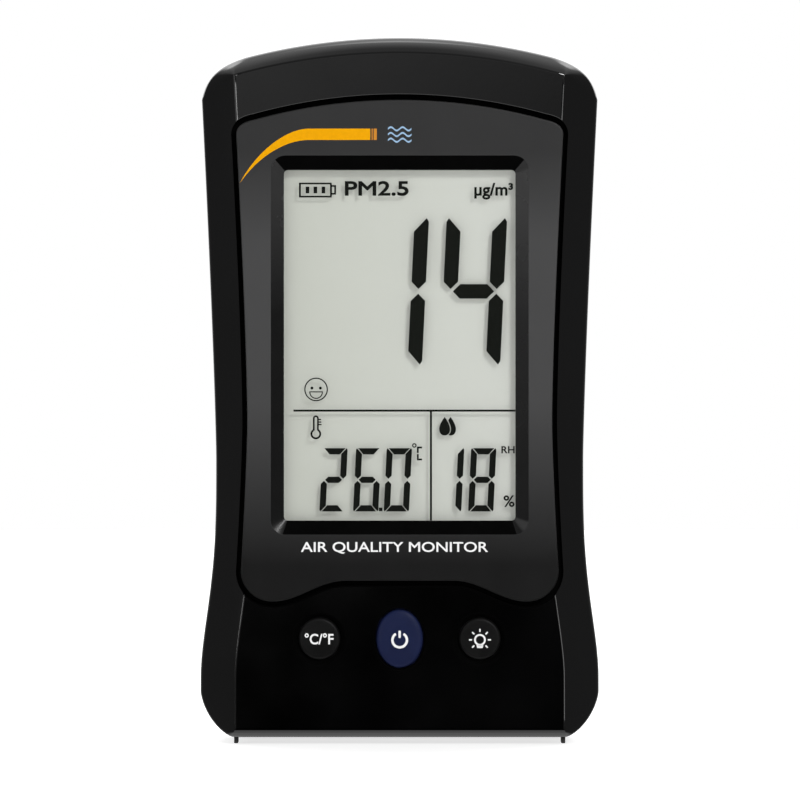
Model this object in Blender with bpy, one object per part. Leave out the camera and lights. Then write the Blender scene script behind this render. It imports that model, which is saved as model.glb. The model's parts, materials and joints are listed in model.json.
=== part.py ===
"""Hand-held air quality monitor, modelled as separate pieces.

+X runs to the right of the display, +Y runs to the back and +Z runs up. The origin is the middle of the
base, level with the tips of the four feet. Lengths are in millimetres until a mesh is made.
"""

import math

import bmesh
import bpy
from mathutils import Matrix, Vector

MM = 0.001
GAP = 0.3  # clearance between two pieces that touch

# Case, seen from the front. Heights are above the bottom of the case.
FOOT_HEIGHT = 1.4
CASE_HEIGHT = 155.0
TOP_RADIUS = 135.0
SHOULDER_HALF = 43.9
SHOULDER_Z = 141.1
SHOULDER_CURVE = ((43.2, 144.0), (42.4, 148.3))  # control points of the corner above the shoulder
WAIST_HALF = 40.75
WAIST_Z = 62.0
HIP_HALF = 44.2
HIP_Z = 13.0
BASE_HALF = 36.4
BASE_CORNER = 10.0
TOP_ARC_HALF = 34.0
CORNER_POWER = 1.6
UPPER_FLARE = 1.25
LOWER_FLARE = 1.7

# Case, from front to back.
FACE_Y = -17.1
SIDE_EDGE_Y = -12.0
TOP_EDGE_Y = -13.5
BASE_EDGE_Y = -16.0
PARTING_Y = -2.0
BACK_Y = 17.5
WALL = 2.2
RIDGE_INSET = 7.75
TOP_CHAMFER = 3.6
BASE_CHAMFER = 1.75
REAR_EDGE = ((0.0, 10.0), (0.45, 12.5), (1.5, 14.8), (3.1, 16.6), (5.4, BACK_Y))  # (inset, depth)
REAR_HOLLOW = ((WALL, 10.5), (4.0, 13.6), (6.8, 15.3))  # (inset, depth)
FRONT_HOLLOW_Y = -10.3
FRONT_HOLLOW_INSET = 7.2

# Charging port, in the bottom of the front cover.
PORT_HALF = 4.05
PORT_FRONT_Y, PORT_BACK_Y = -6.0, -2.8
PORT_FUNNEL = 0.35

# Air grille in the rear cover.
VENT_X, VENT_HALF = 12.5, 9.0
VENT_LOW, VENT_PITCH, VENT_ROWS = 105.0, 4.2, 7
VENT_HEIGHT = 1.8

# Display panel and its window.
PANEL_FRONT_Y = -16.9
PANEL_THICKNESS = 2.0
PANEL_WAIST_HALF = 33.65
PANEL_WAIST_Z = 70.0
PANEL_SHOULDER_HALF = 36.1
PANEL_SHOULDER_Z = 132.9
PANEL_HIP_HALF = 35.1
PANEL_HIP_Z = 36.7
PANEL_TOP_Z = 140.85
PANEL_TOP_RADIUS = 120.0
PANEL_LOBE_X = 28.1
PANEL_LOBE_Z = 30.0
PANEL_RISE_X = 12.0
PANEL_RISE_Z = 34.6
PANEL_FLARE = 1.4
PANEL_CORNER_X = 32.0
PANEL_CORNER_CURVE = ((36.3, 135.0), (34.6, 136.0))  # control points of the panel's upper corner
PANEL_EDGE = 0.35
PANEL_GROOVE = 1.1
RECESS_FLOOR_Y = -14.6
FLOOR_BACK_Y = -13.1
BEVEL_HALF = 28.4
BEVEL_LOW, BEVEL_HIGH = 44.9, 128.5
VIEW_HALF = 25.6
VIEW_LOW, VIEW_HIGH = 47.9, 125.4
WINDOW_HALF = 27.0
WINDOW_LOW, WINDOW_HIGH = 46.5, 126.8
LCD_HALF = 30.0
LCD_LOW, LCD_HIGH = 41.0, 132.0
LCD_FRONT_Y, LCD_BACK_Y = -12.8, -10.8
LCD_FRAME_WALL = 1.2

# Buttons.
BUTTON_Z = 21.9
BUTTON_SPACING = 17.7
SIDE_BUTTON_RADIUS = 4.6
POWER_HALF_WIDTH = 5.13
POWER_HALF_HEIGHT = 6.4
BUTTON_CLEARANCE = 0.32
DISH_RADIUS = 5.66
CROWN_Y = -17.5
FLANGE_FRONT_Y, FLANGE_BACK_Y = -14.8, -13.8
FLANGE_REACH = 1.0
STEM_RADIUS, STEM_END_Y = 1.6, -11.7
PLUNGER_RADIUS = 1.55
PLUNGER_FRONT_Y, PLUNGER_BACK_Y = -11.4, -9.9
SWITCH_FRONT_Y, SWITCH_HALF = -10.6, 3.0

# Circuit board and fasteners.
BOARD_FRONT_Y, BOARD_BACK_Y = -7.6, -6.0
BOARD_HALF = 29.8
BOARD_LOW, BOARD_HIGH = 6.0, 142.0
CASE_SCREW_X = 33.5
CASE_SCREW_Z = (13.0, 139.0)
CASE_SCREW_HEAD_Y = 2.3
BOARD_SCREW_X = 26.0
BOARD_SCREW_Z = (9.5, 138.5)
BOSS_FRONT_Y = -13.8
FRONT_BOSS_RADIUS, FRONT_PILOT_RADIUS = 3.0, 1.05
BOARD_BOSS_RADIUS, BOARD_PILOT_RADIUS = 2.0, 0.85
REAR_BOSS_RADIUS, WELL_RADIUS, SHANK_HOLE_RADIUS = 3.3, 1.95, 1.2
WELL_FLOOR_Y = 2.0

# Battery, behind the board.
BATTERY_HALF = 19.5
BATTERY_LOW, BATTERY_HIGH = 29.0, 86.0
BATTERY_FRONT_Y, BATTERY_BACK_Y = 2.6, 10.1
LEAD_RADIUS = 0.6

# Fold-out stand.
STAND_AXIS_Y, STAND_AXIS_Z = 15.6, 94.0
STAND_HALF = 21.0
STAND_SHOULDER_Z, STAND_FOOT_Z = 80.0, 20.0
STAND_MARGIN = 1.3
STAND_RECESS_LOW, STAND_RECESS_HIGH = 12.0, 98.0
STAND_RECESS_Y = 13.7
STAND_FRONT_Y, STAND_OUTER_Y = 14.0, 16.6
STAND_BARREL_RADIUS = 1.6
STAND_BLOCK_HALF = 25.0  # the solid part of the back that holds the stand
GRIP_LOW, GRIP_PITCH, GRIP_ROWS, GRIP_HEIGHT = 27.0, 3.0, 4, 1.4
PIN_RADIUS = 0.8
PIN_CLEARANCE = 0.08
PIN_HALF = 24.0

# Particle sensor.
SENSOR_HALF = 24.0
SENSOR_LOW, SENSOR_HIGH = 101.5, 136.5
SENSOR_FRONT_Y, SENSOR_BACK_Y = -4.8, 7.2
SENSOR_WALL = 1.0
FAN_X, FAN_Z = 11.5, 119.0
FAN_RADIUS = 7.8
FAN_BLADES = 9
FAN_BLADE_LEAN = 28.0  # degrees between a blade and the line from the hub
FAN_HUB_RADIUS, FAN_SHAFT_RADIUS = 2.6, 0.6
LASER_Y, LASER_Z, LASER_BACK_X = 1.0, 128.0, -21.5
DUCT_BACK_Y = 14.2
SCREEN_FRONT_Y, SCREEN_BACK_Y = 14.5, 15.0

# Feet.
FOOT_X = 36.2
FOOT_WIDTH = 0.9
FOOT_LENGTH = 4.0
FOOT_ROOT = 1.1
FOOT_ROWS = {"front": -12.5, "rear": 9.0}
FOOT_SIDES = {"left": -1, "right": 1}

ROUND = 28  # sides of a round piece


# ------------------------------------------------------------------ scene and materials


def clear_scene():
    for obj in list(bpy.data.objects):
        bpy.data.objects.remove(obj)


def make_material(name, colour, roughness, metallic=0.0):
    material = bpy.data.materials.new(name)
    material.use_nodes = True
    shader = material.node_tree.nodes["Principled BSDF"]
    shader.inputs["Base Color"].default_value = (*colour, 1.0)
    shader.inputs["Roughness"].default_value = roughness
    shader.inputs["Metallic"].default_value = metallic
    material.diffuse_color = (*colour, 1.0)
    return material


def make_origin():
    """The empty that lifts the case by the height of its feet; every piece hangs from it."""
    origin = bpy.data.objects.new("case_origin", None)
    origin.location = (0, 0, FOOT_HEIGHT * MM)
    bpy.context.scene.collection.objects.link(origin)
    return origin


def add_piece(name, bm, material=None, at=(0, 0, 0)):
    """Make an object from a mesh in millimetres, with its origin at `at` in the case's frame."""
    place = Vector(at)
    for vert in bm.verts:
        vert.co = (vert.co - place) * MM
    bmesh.ops.recalc_face_normals(bm, faces=bm.faces)
    mesh = bpy.data.meshes.new(name)
    bm.to_mesh(mesh)
    bm.free()
    obj = bpy.data.objects.new(name, mesh)
    obj.location = place * MM
    obj.parent = ORIGIN
    bpy.context.scene.collection.objects.link(obj)
    if material:
        mesh.materials.append(material)
        mesh.shade_smooth()
        mesh.set_sharp_from_angle(angle=math.radians(30))
    return obj


def combine(piece, tool_mesh, operation):
    """Join a shape to a piece, or cut it away, with a Boolean that uses a hidden helper object."""
    tool = add_piece(f"{piece.name}_{operation.lower()}_{len(piece.modifiers)}", tool_mesh)
    tool.hide_render = True
    tool.display_type = "WIRE"
    modifier = piece.modifiers.new(operation.title(), "BOOLEAN")
    modifier.operation = operation
    modifier.solver = "EXACT"
    modifier.object = tool


def cut(piece, tool_mesh):
    combine(piece, tool_mesh, "DIFFERENCE")


def join(piece, tool_mesh):
    combine(piece, tool_mesh, "UNION")


# ------------------------------------------------------------------ shapes


def loft(rings):
    """A closed body through rings of (x, y, z) points, with a flat cap on the first and the last."""
    bm = bmesh.new()
    loops = [[bm.verts.new(point) for point in ring] for ring in rings]
    for first, second in zip(loops, loops[1:]):
        for i, vert in enumerate(first):
            j = (i + 1) % len(first)
            bm.faces.new((vert, first[j], second[j], second[i]))
    bm.faces.new(loops[0])
    bm.faces.new(loops[-1])
    bmesh.ops.remove_doubles(bm, verts=bm.verts, dist=1e-4)
    return bm


def at_depth(outline, y):
    return [(x, y, z) for x, z in outline]


def prism(outline, y_front, y_back):
    """An outline in the XZ plane, extruded from y_front to y_back."""
    return loft([at_depth(outline, y_front), at_depth(outline, y_back)])


def block(low, high):
    (x0, y0, z0), (x1, y1, z1) = low, high
    return prism([(x0, z0), (x1, z0), (x1, z1), (x0, z1)], y0, y1)


def oval(centre, half_width, half_height, sides=ROUND):
    x, z = centre
    turns = [2 * math.pi * i / sides for i in range(sides)]
    return [(x + half_width * math.cos(a), z + half_height * math.sin(a)) for a in turns]


def turned(centre, profile, sides=ROUND):
    """A body turned about a line along Y through `centre`, from a list of (radius, y)."""
    return loft([at_depth(oval(centre, radius, radius, sides), y) for radius, y in profile])


def round_bar(centre, radius, y_front, y_back, sides=ROUND):
    return turned(centre, [(radius, y_front), (radius, y_back)], sides)


def rounded_box(half_width, low, high, radius, steps=5, x=0.0):
    """A rectangle in the XZ plane from height `low` to `high`, with round corners."""
    points = []
    corners = ((1, high, 0), (-1, high, 90), (-1, low, 180), (1, low, 270))
    for side, z, start in corners:
        centre_x = x + side * (half_width - radius)
        centre_z = z - radius if z == high else z + radius
        for i in range(steps + 1):
            a = math.radians(start + 90 * i / steps)
            points.append((centre_x + radius * math.cos(a), centre_z + radius * math.sin(a)))
    return points


def bezier(p0, p1, p2, p3, steps):
    """The points of a cubic curve after p0, up to and including p3."""
    points = []
    for i in range(1, steps + 1):
        t = i / steps
        weights = ((1 - t) ** 3, 3 * t * (1 - t) ** 2, 3 * t * t * (1 - t), t**3)
        corners = (p0, p1, p2, p3)
        points.append(tuple(sum(w * p[k] for w, p in zip(weights, corners)) for k in (0, 1)))
    return points


def mirrored(half):
    """A closed outline from its right half, which runs from the bottom centre to the top centre."""
    return half + [(-x, z) for x, z in reversed(half[1:-1])]


def grown(outline, distance):
    """The outline moved outwards by `distance`, point by point along its own normals."""
    points = []
    for i, (x, z) in enumerate(outline):
        before, after = Vector(outline[i - 1]), Vector(outline[(i + 1) % len(outline)])
        run = (after - before).normalized()
        points.append((x + run.y * distance, z - run.x * distance))
    return points


def swung(bm, angle, centre):
    """Turn a mesh about a line along Y through `centre`."""
    pivot = Vector((centre[0], 0, centre[1]))
    bmesh.ops.rotate(bm, cent=pivot, matrix=Matrix.Rotation(angle, 3, "Y"), verts=bm.verts)
    return bm


def across(bm, centre_y, centre_z):
    """Lay a body that was turned about the Y axis along X instead."""
    bmesh.ops.rotate(bm, cent=(0, 0, 0), matrix=Matrix.Rotation(math.radians(-90), 3, "Z"), verts=bm.verts)
    bmesh.ops.translate(bm, vec=(0, centre_y, centre_z), verts=bm.verts)
    return bm


# ------------------------------------------------------------------ outlines


def side_half_width(z):
    """Half the width of the case at height z: narrow at the waist, flaring to shoulders and hips."""
    if z >= WAIST_Z:
        rise = (z - WAIST_Z) / (SHOULDER_Z - WAIST_Z)
        return WAIST_HALF + (SHOULDER_HALF - WAIST_HALF) * rise**UPPER_FLARE
    drop = min(1.0, (WAIST_Z - z) / (WAIST_Z - HIP_Z)) ** LOWER_FLARE
    return WAIST_HALF + (HIP_HALF - WAIST_HALF) * drop * drop * (3 - 2 * drop)


def top_arc(x):
    return CASE_HEIGHT - TOP_RADIUS + math.sqrt(TOP_RADIUS**2 - x * x)


def case_stations(corner_steps=6, side_steps=20, top_steps=9):
    """Rows of (edge point, face point, edge depth) up the right side, from bottom centre to top centre.

    The edge point is on the outline that the case shows from the front. The face point is the end of
    the facet that starts there, on the flat front face; each corner's facets meet in one face point.
    """
    face_low, face_high = BASE_CHAMFER, top_arc(BASE_HALF) - TOP_CHAMFER
    low_point = (side_half_width(face_low) - RIDGE_INSET, face_low)
    high_point = (side_half_width(face_high) - RIDGE_INSET, face_high)
    rows = [((0.0, 0.0), (0.0, face_low), BASE_EDGE_Y)]
    for i in range(corner_steps + 1):
        a = math.radians(90 * i / corner_steps)
        x = BASE_HALF + (HIP_HALF - BASE_HALF) * math.sin(a) ** (2 / CORNER_POWER)
        drop = max(0.0, math.cos(a)) ** (2 / CORNER_POWER)
        depth = SIDE_EDGE_Y + (BASE_EDGE_Y - SIDE_EDGE_Y) * drop * drop
        rows.append(((x, BASE_CORNER * (1 - drop)), low_point, depth))
    for i in range(1, side_steps + 1):
        z = BASE_CORNER + (SHOULDER_Z - BASE_CORNER) * i / side_steps
        face_z = face_low + (face_high - face_low) * i / side_steps
        face = (side_half_width(face_z) - RIDGE_INSET, face_z)
        rows.append(((side_half_width(z), z), face, SIDE_EDGE_Y))
    shoulder, arc_end = (SHOULDER_HALF, SHOULDER_Z), (TOP_ARC_HALF, top_arc(TOP_ARC_HALF))
    corner = bezier(shoulder, *SHOULDER_CURVE, arc_end, corner_steps)
    for i, point in enumerate(corner, 1):
        depth = SIDE_EDGE_Y + (TOP_EDGE_Y - SIDE_EDGE_Y) * i / corner_steps
        rows.append((point, high_point, depth))
    for i in range(1, top_steps + 1):
        x = TOP_ARC_HALF * (1 - i / top_steps)
        face_x = high_point[0] * (1 - i / top_steps)
        rows.append(((x, top_arc(x)), (face_x, top_arc(face_x) - TOP_CHAMFER), TOP_EDGE_Y))
    return rows


def case_outline(inset=0.0):
    """The case's outline, drawn in by about `inset` all round."""
    half = [edge for edge, _, _ in case_stations()]
    wide, tall = 1 - inset / HIP_HALF, 1 - 2 * inset / CASE_HEIGHT
    return mirrored([(x * wide, inset + z * tall) for x, z in half])


def panel_outline(corner_steps=6, side_steps=12, wave_steps=9):
    """The display panel: a waisted shield whose lower edge rises in the middle."""
    half = [(0.0, PANEL_RISE_Z)]
    for i in range(wave_steps + 1):
        t = i / wave_steps
        x = PANEL_RISE_X + (PANEL_LOBE_X - PANEL_RISE_X) * t
        half.append((x, PANEL_LOBE_Z + (PANEL_RISE_Z - PANEL_LOBE_Z) * (1 + math.cos(math.pi * t)) / 2))
    for i in range(1, corner_steps + 1):
        a = math.radians(90 * i / corner_steps)
        x = PANEL_LOBE_X + (PANEL_HIP_HALF - PANEL_LOBE_X) * math.sin(a)
        half.append((x, PANEL_HIP_Z - (PANEL_HIP_Z - PANEL_LOBE_Z) * math.cos(a)))
    for i in range(1, side_steps + 1):
        z = PANEL_HIP_Z + (PANEL_SHOULDER_Z - PANEL_HIP_Z) * i / side_steps
        if z < PANEL_WAIST_Z:
            flare = ((PANEL_WAIST_Z - z) / (PANEL_WAIST_Z - PANEL_HIP_Z)) ** PANEL_FLARE
            half.append((PANEL_WAIST_HALF + (PANEL_HIP_HALF - PANEL_WAIST_HALF) * flare, z))
        else:
            flare = ((z - PANEL_WAIST_Z) / (PANEL_SHOULDER_Z - PANEL_WAIST_Z)) ** PANEL_FLARE
            half.append((PANEL_WAIST_HALF + (PANEL_SHOULDER_HALF - PANEL_WAIST_HALF) * flare, z))
    side = (PANEL_SHOULDER_HALF, PANEL_SHOULDER_Z)
    corner_end = (PANEL_CORNER_X, panel_top(PANEL_CORNER_X))
    half += bezier(side, *PANEL_CORNER_CURVE, corner_end, corner_steps)
    for i in range(1, wave_steps + 1):
        x = PANEL_CORNER_X * (1 - i / wave_steps)
        half.append((x, panel_top(x)))
    return mirrored(half)


def panel_top(x):
    return PANEL_TOP_Z - PANEL_TOP_RADIUS + math.sqrt(PANEL_TOP_RADIUS**2 - x * x)


def leg_outline(margin, top_z):
    """The stand's leg, which narrows to its foot, with the same margin all round below top_z."""
    right = [
        (STAND_HALF - 8.0, STAND_FOOT_Z - margin),
        (STAND_HALF - 5.0 + margin, STAND_FOOT_Z + 3.0 - margin),
        (STAND_HALF + margin, STAND_SHOULDER_Z),
        (STAND_HALF + margin, top_z),
    ]
    return right + [(-x, z) for x, z in reversed(right)]


# ------------------------------------------------------------------ case


def foot_slots(low_y, high_y):
    """Cutters for the feet that lie between two depths: each slot clears its foot by GAP."""
    tools = []
    for y in FOOT_ROWS.values():
        if not low_y < y < high_y:
            continue
        for side in FOOT_SIDES.values():
            x = side * FOOT_X
            half_x, half_y = FOOT_WIDTH / 2 + GAP, FOOT_LENGTH / 2 + GAP
            low, high = (x - half_x, y - half_y, -1.0), (x + half_x, y + half_y, FOOT_ROOT + GAP)
            tools.append(block(low, high))
    return tools


def screw_places(x, heights):
    return [(side * x, z) for z in heights for side in (-1, 1)]


def make_front_cover(material):
    stations = case_stations()
    outline = case_outline()
    edge_y = [depth for _, _, depth in stations]
    edge_y += list(reversed(edge_y[1:-1]))
    edge_ring = [(x, y, z) for (x, z), y in zip(outline, edge_y)]
    face_ring = at_depth(mirrored([face for _, face, _ in stations]), FACE_Y)
    cover = add_piece("front_cover", loft([at_depth(outline, PARTING_Y), edge_ring, face_ring]), material)
    hollow = ((WALL, PARTING_Y + 1), (WALL, FRONT_HOLLOW_Y), (FRONT_HOLLOW_INSET, FLOOR_BACK_Y))
    cut(cover, loft([at_depth(case_outline(inset), y) for inset, y in hollow]))
    cut(cover, prism(grown(panel_outline(), PANEL_GROOVE), FACE_Y - 1, RECESS_FLOOR_Y))
    seat = rounded_box(WINDOW_HALF + GAP, WINDOW_LOW - GAP, WINDOW_HIGH + GAP, 1.5)
    cut(cover, prism(seat, RECESS_FLOOR_Y - 1, FLOOR_BACK_Y + 1))
    # A pocket behind the buttons leaves room for their flanges.
    pocket = rounded_box(BUTTON_SPACING + SIDE_BUTTON_RADIUS + 1.7, 6.0, 29.6, 2.0)
    cut(cover, prism(pocket, FLANGE_FRONT_Y - GAP, FLOOR_BACK_Y + 1))
    for x in (-BUTTON_SPACING, BUTTON_SPACING):
        hole = SIDE_BUTTON_RADIUS + BUTTON_CLEARANCE
        profile = [(DISH_RADIUS + 0.3, FACE_Y - 0.3), (hole, FACE_Y + 0.7), (hole, FLOOR_BACK_Y)]
        cut(cover, turned((x, BUTTON_Z), profile))
    power_hole = (POWER_HALF_WIDTH + BUTTON_CLEARANCE, POWER_HALF_HEIGHT + BUTTON_CLEARANCE)
    cut(cover, prism(oval((0, BUTTON_Z), *power_hole), FACE_Y - 1, FLOOR_BACK_Y))
    for place in screw_places(CASE_SCREW_X, CASE_SCREW_Z):
        join(cover, round_bar(place, FRONT_BOSS_RADIUS, BOSS_FRONT_Y, PARTING_Y))
        cut(cover, round_bar(place, FRONT_PILOT_RADIUS, BOSS_FRONT_Y + 3, PARTING_Y + 1, 16))
    for place in screw_places(BOARD_SCREW_X, BOARD_SCREW_Z):
        join(cover, round_bar(place, BOARD_BOSS_RADIUS, BOSS_FRONT_Y, BOARD_FRONT_Y - GAP, 20))
        cut(cover, round_bar(place, BOARD_PILOT_RADIUS, BOSS_FRONT_Y + 2.3, BOARD_FRONT_Y, 16))
    cut(cover, port_opening())
    for slot in foot_slots(FACE_Y, PARTING_Y):
        cut(cover, slot)


def port_opening():
    """The charging port's opening, which narrows from a shallow funnel in the bottom wall."""
    rings = []
    for more, z in ((PORT_FUNNEL, -0.5), (0.0, 0.8), (0.0, 3.5)):
        half, front, back = PORT_HALF + more, PORT_FRONT_Y - more, PORT_BACK_Y + more
        rings.append([(half, back, z), (half, front, z), (-half, front, z), (-half, back, z)])
    return loft(rings)


def make_rear_cover(material):
    outside = ((0.0, PARTING_Y + GAP), *REAR_EDGE)
    rings = [at_depth(case_outline(inset), y) for inset, y in outside]
    cover = add_piece("rear_cover", loft(rings), material)
    hollow = ((WALL, PARTING_Y - 1), *REAR_HOLLOW)
    cut(cover, loft([at_depth(case_outline(inset), y) for inset, y in hollow]))
    low = (-STAND_BLOCK_HALF, STAND_RECESS_Y - WALL - 0.1, STAND_RECESS_LOW - 3.0)
    high = (STAND_BLOCK_HALF, BACK_Y - 1.0, STAND_RECESS_HIGH + 1.8)
    join(cover, block(low, high))
    for place in screw_places(CASE_SCREW_X, CASE_SCREW_Z):
        join(cover, round_bar(place, REAR_BOSS_RADIUS, PARTING_Y + GAP, BACK_Y - 1.1))
        cut(cover, round_bar(place, WELL_RADIUS, WELL_FLOOR_Y, BACK_Y + 1, 20))
        cut(cover, round_bar(place, SHANK_HOLE_RADIUS, PARTING_Y - 1, WELL_FLOOR_Y + 1, 16))
    recess = leg_outline(STAND_MARGIN, STAND_RECESS_HIGH)
    cut(cover, prism(recess, STAND_RECESS_Y, BACK_Y + 1))
    finger_notch = rounded_box(13.5, STAND_RECESS_LOW, STAND_FOOT_Z + 4, 3.0)
    cut(cover, prism(finger_notch, STAND_RECESS_Y, BACK_Y + 1))
    cut(cover, pin_bore(PIN_HALF + 0.2))
    for z in [VENT_LOW + VENT_PITCH * i for i in range(VENT_ROWS)]:
        for x in (-VENT_X, VENT_X):
            slot = rounded_box(VENT_HALF, z, z + VENT_HEIGHT, VENT_HEIGHT / 2 - 0.01, 3, x)
            cut(cover, prism(slot, SCREEN_FRONT_Y, BACK_Y + 1))
    for slot in foot_slots(PARTING_Y, BACK_Y):
        cut(cover, slot)


def pin_bore(half_length):
    """The cutter for the stand pin's hole."""
    bore = round_bar((0, 0), PIN_RADIUS + PIN_CLEARANCE, -half_length, half_length, 20)
    return across(bore, STAND_AXIS_Y, STAND_AXIS_Z)


def make_feet(material):
    for row, y in FOOT_ROWS.items():
        for hand, side in FOOT_SIDES.items():
            x = side * FOOT_X
            low = (x - FOOT_WIDTH / 2, y - FOOT_LENGTH / 2, -FOOT_HEIGHT)
            high = (x + FOOT_WIDTH / 2, y + FOOT_LENGTH / 2, FOOT_ROOT)
            add_piece(f"foot_{row}_{hand}", block(low, high), material, (x, y, 0))


def make_case_screws(material):
    head = CASE_SCREW_HEAD_Y
    profile = [(0.5, head - 11.9), (0.95, head - 11.1), (0.95, head)]
    profile += [(1.7, head), (1.7, head + 0.9), (1.2, head + 1.4)]
    for number, place in enumerate(screw_places(CASE_SCREW_X, CASE_SCREW_Z), 1):
        screw = turned(place, profile, 12)
        add_piece(f"case_screw_{number}", screw, material, (place[0], head, place[1]))


# ------------------------------------------------------------------ display


def make_display_bezel(material):
    back_y = PANEL_FRONT_Y + PANEL_THICKNESS
    outline = panel_outline()
    rings = [
        at_depth(grown(outline, -PANEL_EDGE), PANEL_FRONT_Y),
        at_depth(outline, PANEL_FRONT_Y + PANEL_EDGE),
        at_depth(outline, back_y),
    ]
    bezel = add_piece("display_bezel", loft(rings), material)
    # The window's bevel runs past both faces of the panel at one slope.
    slope = (BEVEL_HALF - VIEW_HALF) / PANEL_THICKNESS
    front = rounded_box(BEVEL_HALF + slope, BEVEL_LOW - slope, BEVEL_HIGH + slope, 3.2)
    edge = rounded_box(VIEW_HALF, VIEW_LOW, VIEW_HIGH, 1.2)
    depths = ((front, PANEL_FRONT_Y - 1), (edge, back_y - 0.2), (edge, back_y + 1))
    cut(bezel, loft([at_depth(ring, y) for ring, y in depths]))


def make_display(materials):
    window = prism(rounded_box(WINDOW_HALF, WINDOW_LOW, WINDOW_HIGH, 1.2), RECESS_FLOOR_Y, FLOOR_BACK_Y - GAP)
    add_piece("display_window", window, materials["clear"])
    glass = block((-LCD_HALF, LCD_FRONT_Y, LCD_LOW), (LCD_HALF, LCD_BACK_Y, LCD_HIGH))
    add_piece("lcd_glass", glass, materials["lcd"])
    front_y, back_y = LCD_BACK_Y + GAP, BOARD_FRONT_Y - GAP
    half, low = LCD_HALF - 0.5, LCD_LOW + 5.0
    guide = block((-half, front_y, low), (half, back_y - GAP, LCD_HIGH - 0.5))
    add_piece("lcd_backlight", guide, materials["diffuser"])
    half, low = LCD_HALF - 4.0, LCD_LOW + 0.5
    strip = block((-half, front_y, low), (half, back_y, low + 3.0))
    add_piece("lcd_contact_strip", strip, materials["foam"])
    inside, low, high = LCD_HALF + GAP, LCD_LOW - GAP, LCD_HIGH + GAP
    outside = inside + LCD_FRAME_WALL
    ring = block((-outside, LCD_FRONT_Y, low - 1.7), (outside, back_y, high + 1.7))
    frame = add_piece("lcd_frame", ring, materials["pale_plastic"])
    cut(frame, block((-inside, LCD_FRONT_Y - 1, low), (inside, back_y + 1, high)))


# ------------------------------------------------------------------ buttons


def make_button(name, switch_name, x, half_width, half_height, materials, cap_material):
    """A cap that slides in the front cover, the plunger that it presses and the switch on the board."""
    centre = (x, BUTTON_Z)

    def slice_at(scale, y):
        return at_depth(oval(centre, half_width * scale, half_height * scale), y)

    flange = (half_width + FLANGE_REACH, half_height + 0.9 * FLANGE_REACH)
    rings = [slice_at(0.55, CROWN_Y), slice_at(0.85, CROWN_Y + 0.12), slice_at(0.96, CROWN_Y + 0.35)]
    rings += [slice_at(1.0, CROWN_Y + 0.8), slice_at(1.0, FLANGE_FRONT_Y)]
    rings += [at_depth(oval(centre, *flange), y) for y in (FLANGE_FRONT_Y, FLANGE_BACK_Y)]
    rings += [at_depth(oval(centre, STEM_RADIUS, STEM_RADIUS), y) for y in (FLANGE_BACK_Y, STEM_END_Y)]
    add_piece(name, loft(rings), cap_material, (x, CROWN_Y, BUTTON_Z))
    plunger = round_bar(centre, PLUNGER_RADIUS, PLUNGER_FRONT_Y, PLUNGER_BACK_Y, 20)
    add_piece(f"{switch_name}_plunger", plunger, materials["black"], (x, PLUNGER_FRONT_Y, BUTTON_Z))
    low = (x - SWITCH_HALF, SWITCH_FRONT_Y, BUTTON_Z - SWITCH_HALF)
    high = (x + SWITCH_HALF, BOARD_FRONT_Y - GAP, BUTTON_Z + SWITCH_HALF)
    switch = add_piece(switch_name, block(low, high), materials["steel"], (x, BOARD_FRONT_Y, BUTTON_Z))
    cut(switch, round_bar(centre, PLUNGER_RADIUS + 0.15, SWITCH_FRONT_Y - 1, PLUNGER_BACK_Y + 0.9, 20))


def make_buttons(materials):
    side = (SIDE_BUTTON_RADIUS, SIDE_BUTTON_RADIUS, materials)
    make_button("unit_button", "unit_switch", -BUTTON_SPACING, *side, materials["button_grey"])
    make_button("light_button", "light_switch", BUTTON_SPACING, *side, materials["button_grey"])
    power = (POWER_HALF_WIDTH, POWER_HALF_HEIGHT, materials)
    make_button("power_button", "power_switch", 0.0, *power, materials["button_blue"])


# ------------------------------------------------------------------ board and battery


def make_board(materials):
    outline = rounded_box(BOARD_HALF, BOARD_LOW, BOARD_HIGH, 2.0)
    board = add_piece("main_board", prism(outline, BOARD_FRONT_Y, BOARD_BACK_Y), materials["board"])
    for place in screw_places(BOARD_SCREW_X, BOARD_SCREW_Z):
        cut(board, round_bar(place, 1.2, BOARD_FRONT_Y - 1, BOARD_BACK_Y + 1, 16))
    back = BOARD_BACK_Y + GAP
    profile = [(0.4, back - 5.1), (0.75, back - 4.5), (0.75, back)]
    profile += [(1.6, back), (1.6, back + 0.8), (1.1, back + 1.2)]
    for number, place in enumerate(screw_places(BOARD_SCREW_X, BOARD_SCREW_Z), 1):
        screw = turned(place, profile, 12)
        add_piece(f"board_screw_{number}", screw, materials["steel"], (place[0], back, place[1]))
    chip = block((-5.0, back, 60.0), (5.0, back + 1.4, 70.0))
    add_piece("main_chip", chip, materials["black"])
    sensor = block((-27.5, back, 30.0), (-24.5, back + 1.1, 33.0))
    add_piece("climate_sensor", sensor, materials["pale_plastic"])
    buzzer = round_bar((18.0, 18.0), 6.0, back, back + 4.0)
    add_piece("buzzer", buzzer, materials["black"])
    socket = block((-19.0, back, 22.0), (-12.0, back + 4.5, 27.0))
    add_piece("battery_socket", socket, materials["pale_plastic"])


def make_charging_port(materials):
    """The metal shell of the inlet, open at the bottom, and the tongue inside it."""
    half, front, back = PORT_HALF - GAP, PORT_FRONT_Y + GAP, PORT_BACK_Y - GAP
    wall = 0.35
    shell = add_piece("charging_port", block((-half, front, 0.9), (half, back, 6.6)), materials["steel"])
    inside = half - wall
    cut(shell, block((-inside, front + wall, 0.0), (inside, back - wall, 6.2)))
    tongue_y = (front + back) / 2
    tongue = block((-2.6, tongue_y - 0.25, 2.0), (2.6, tongue_y + 0.3, 5.9))
    add_piece("charging_tongue", tongue, materials["black"])


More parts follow.
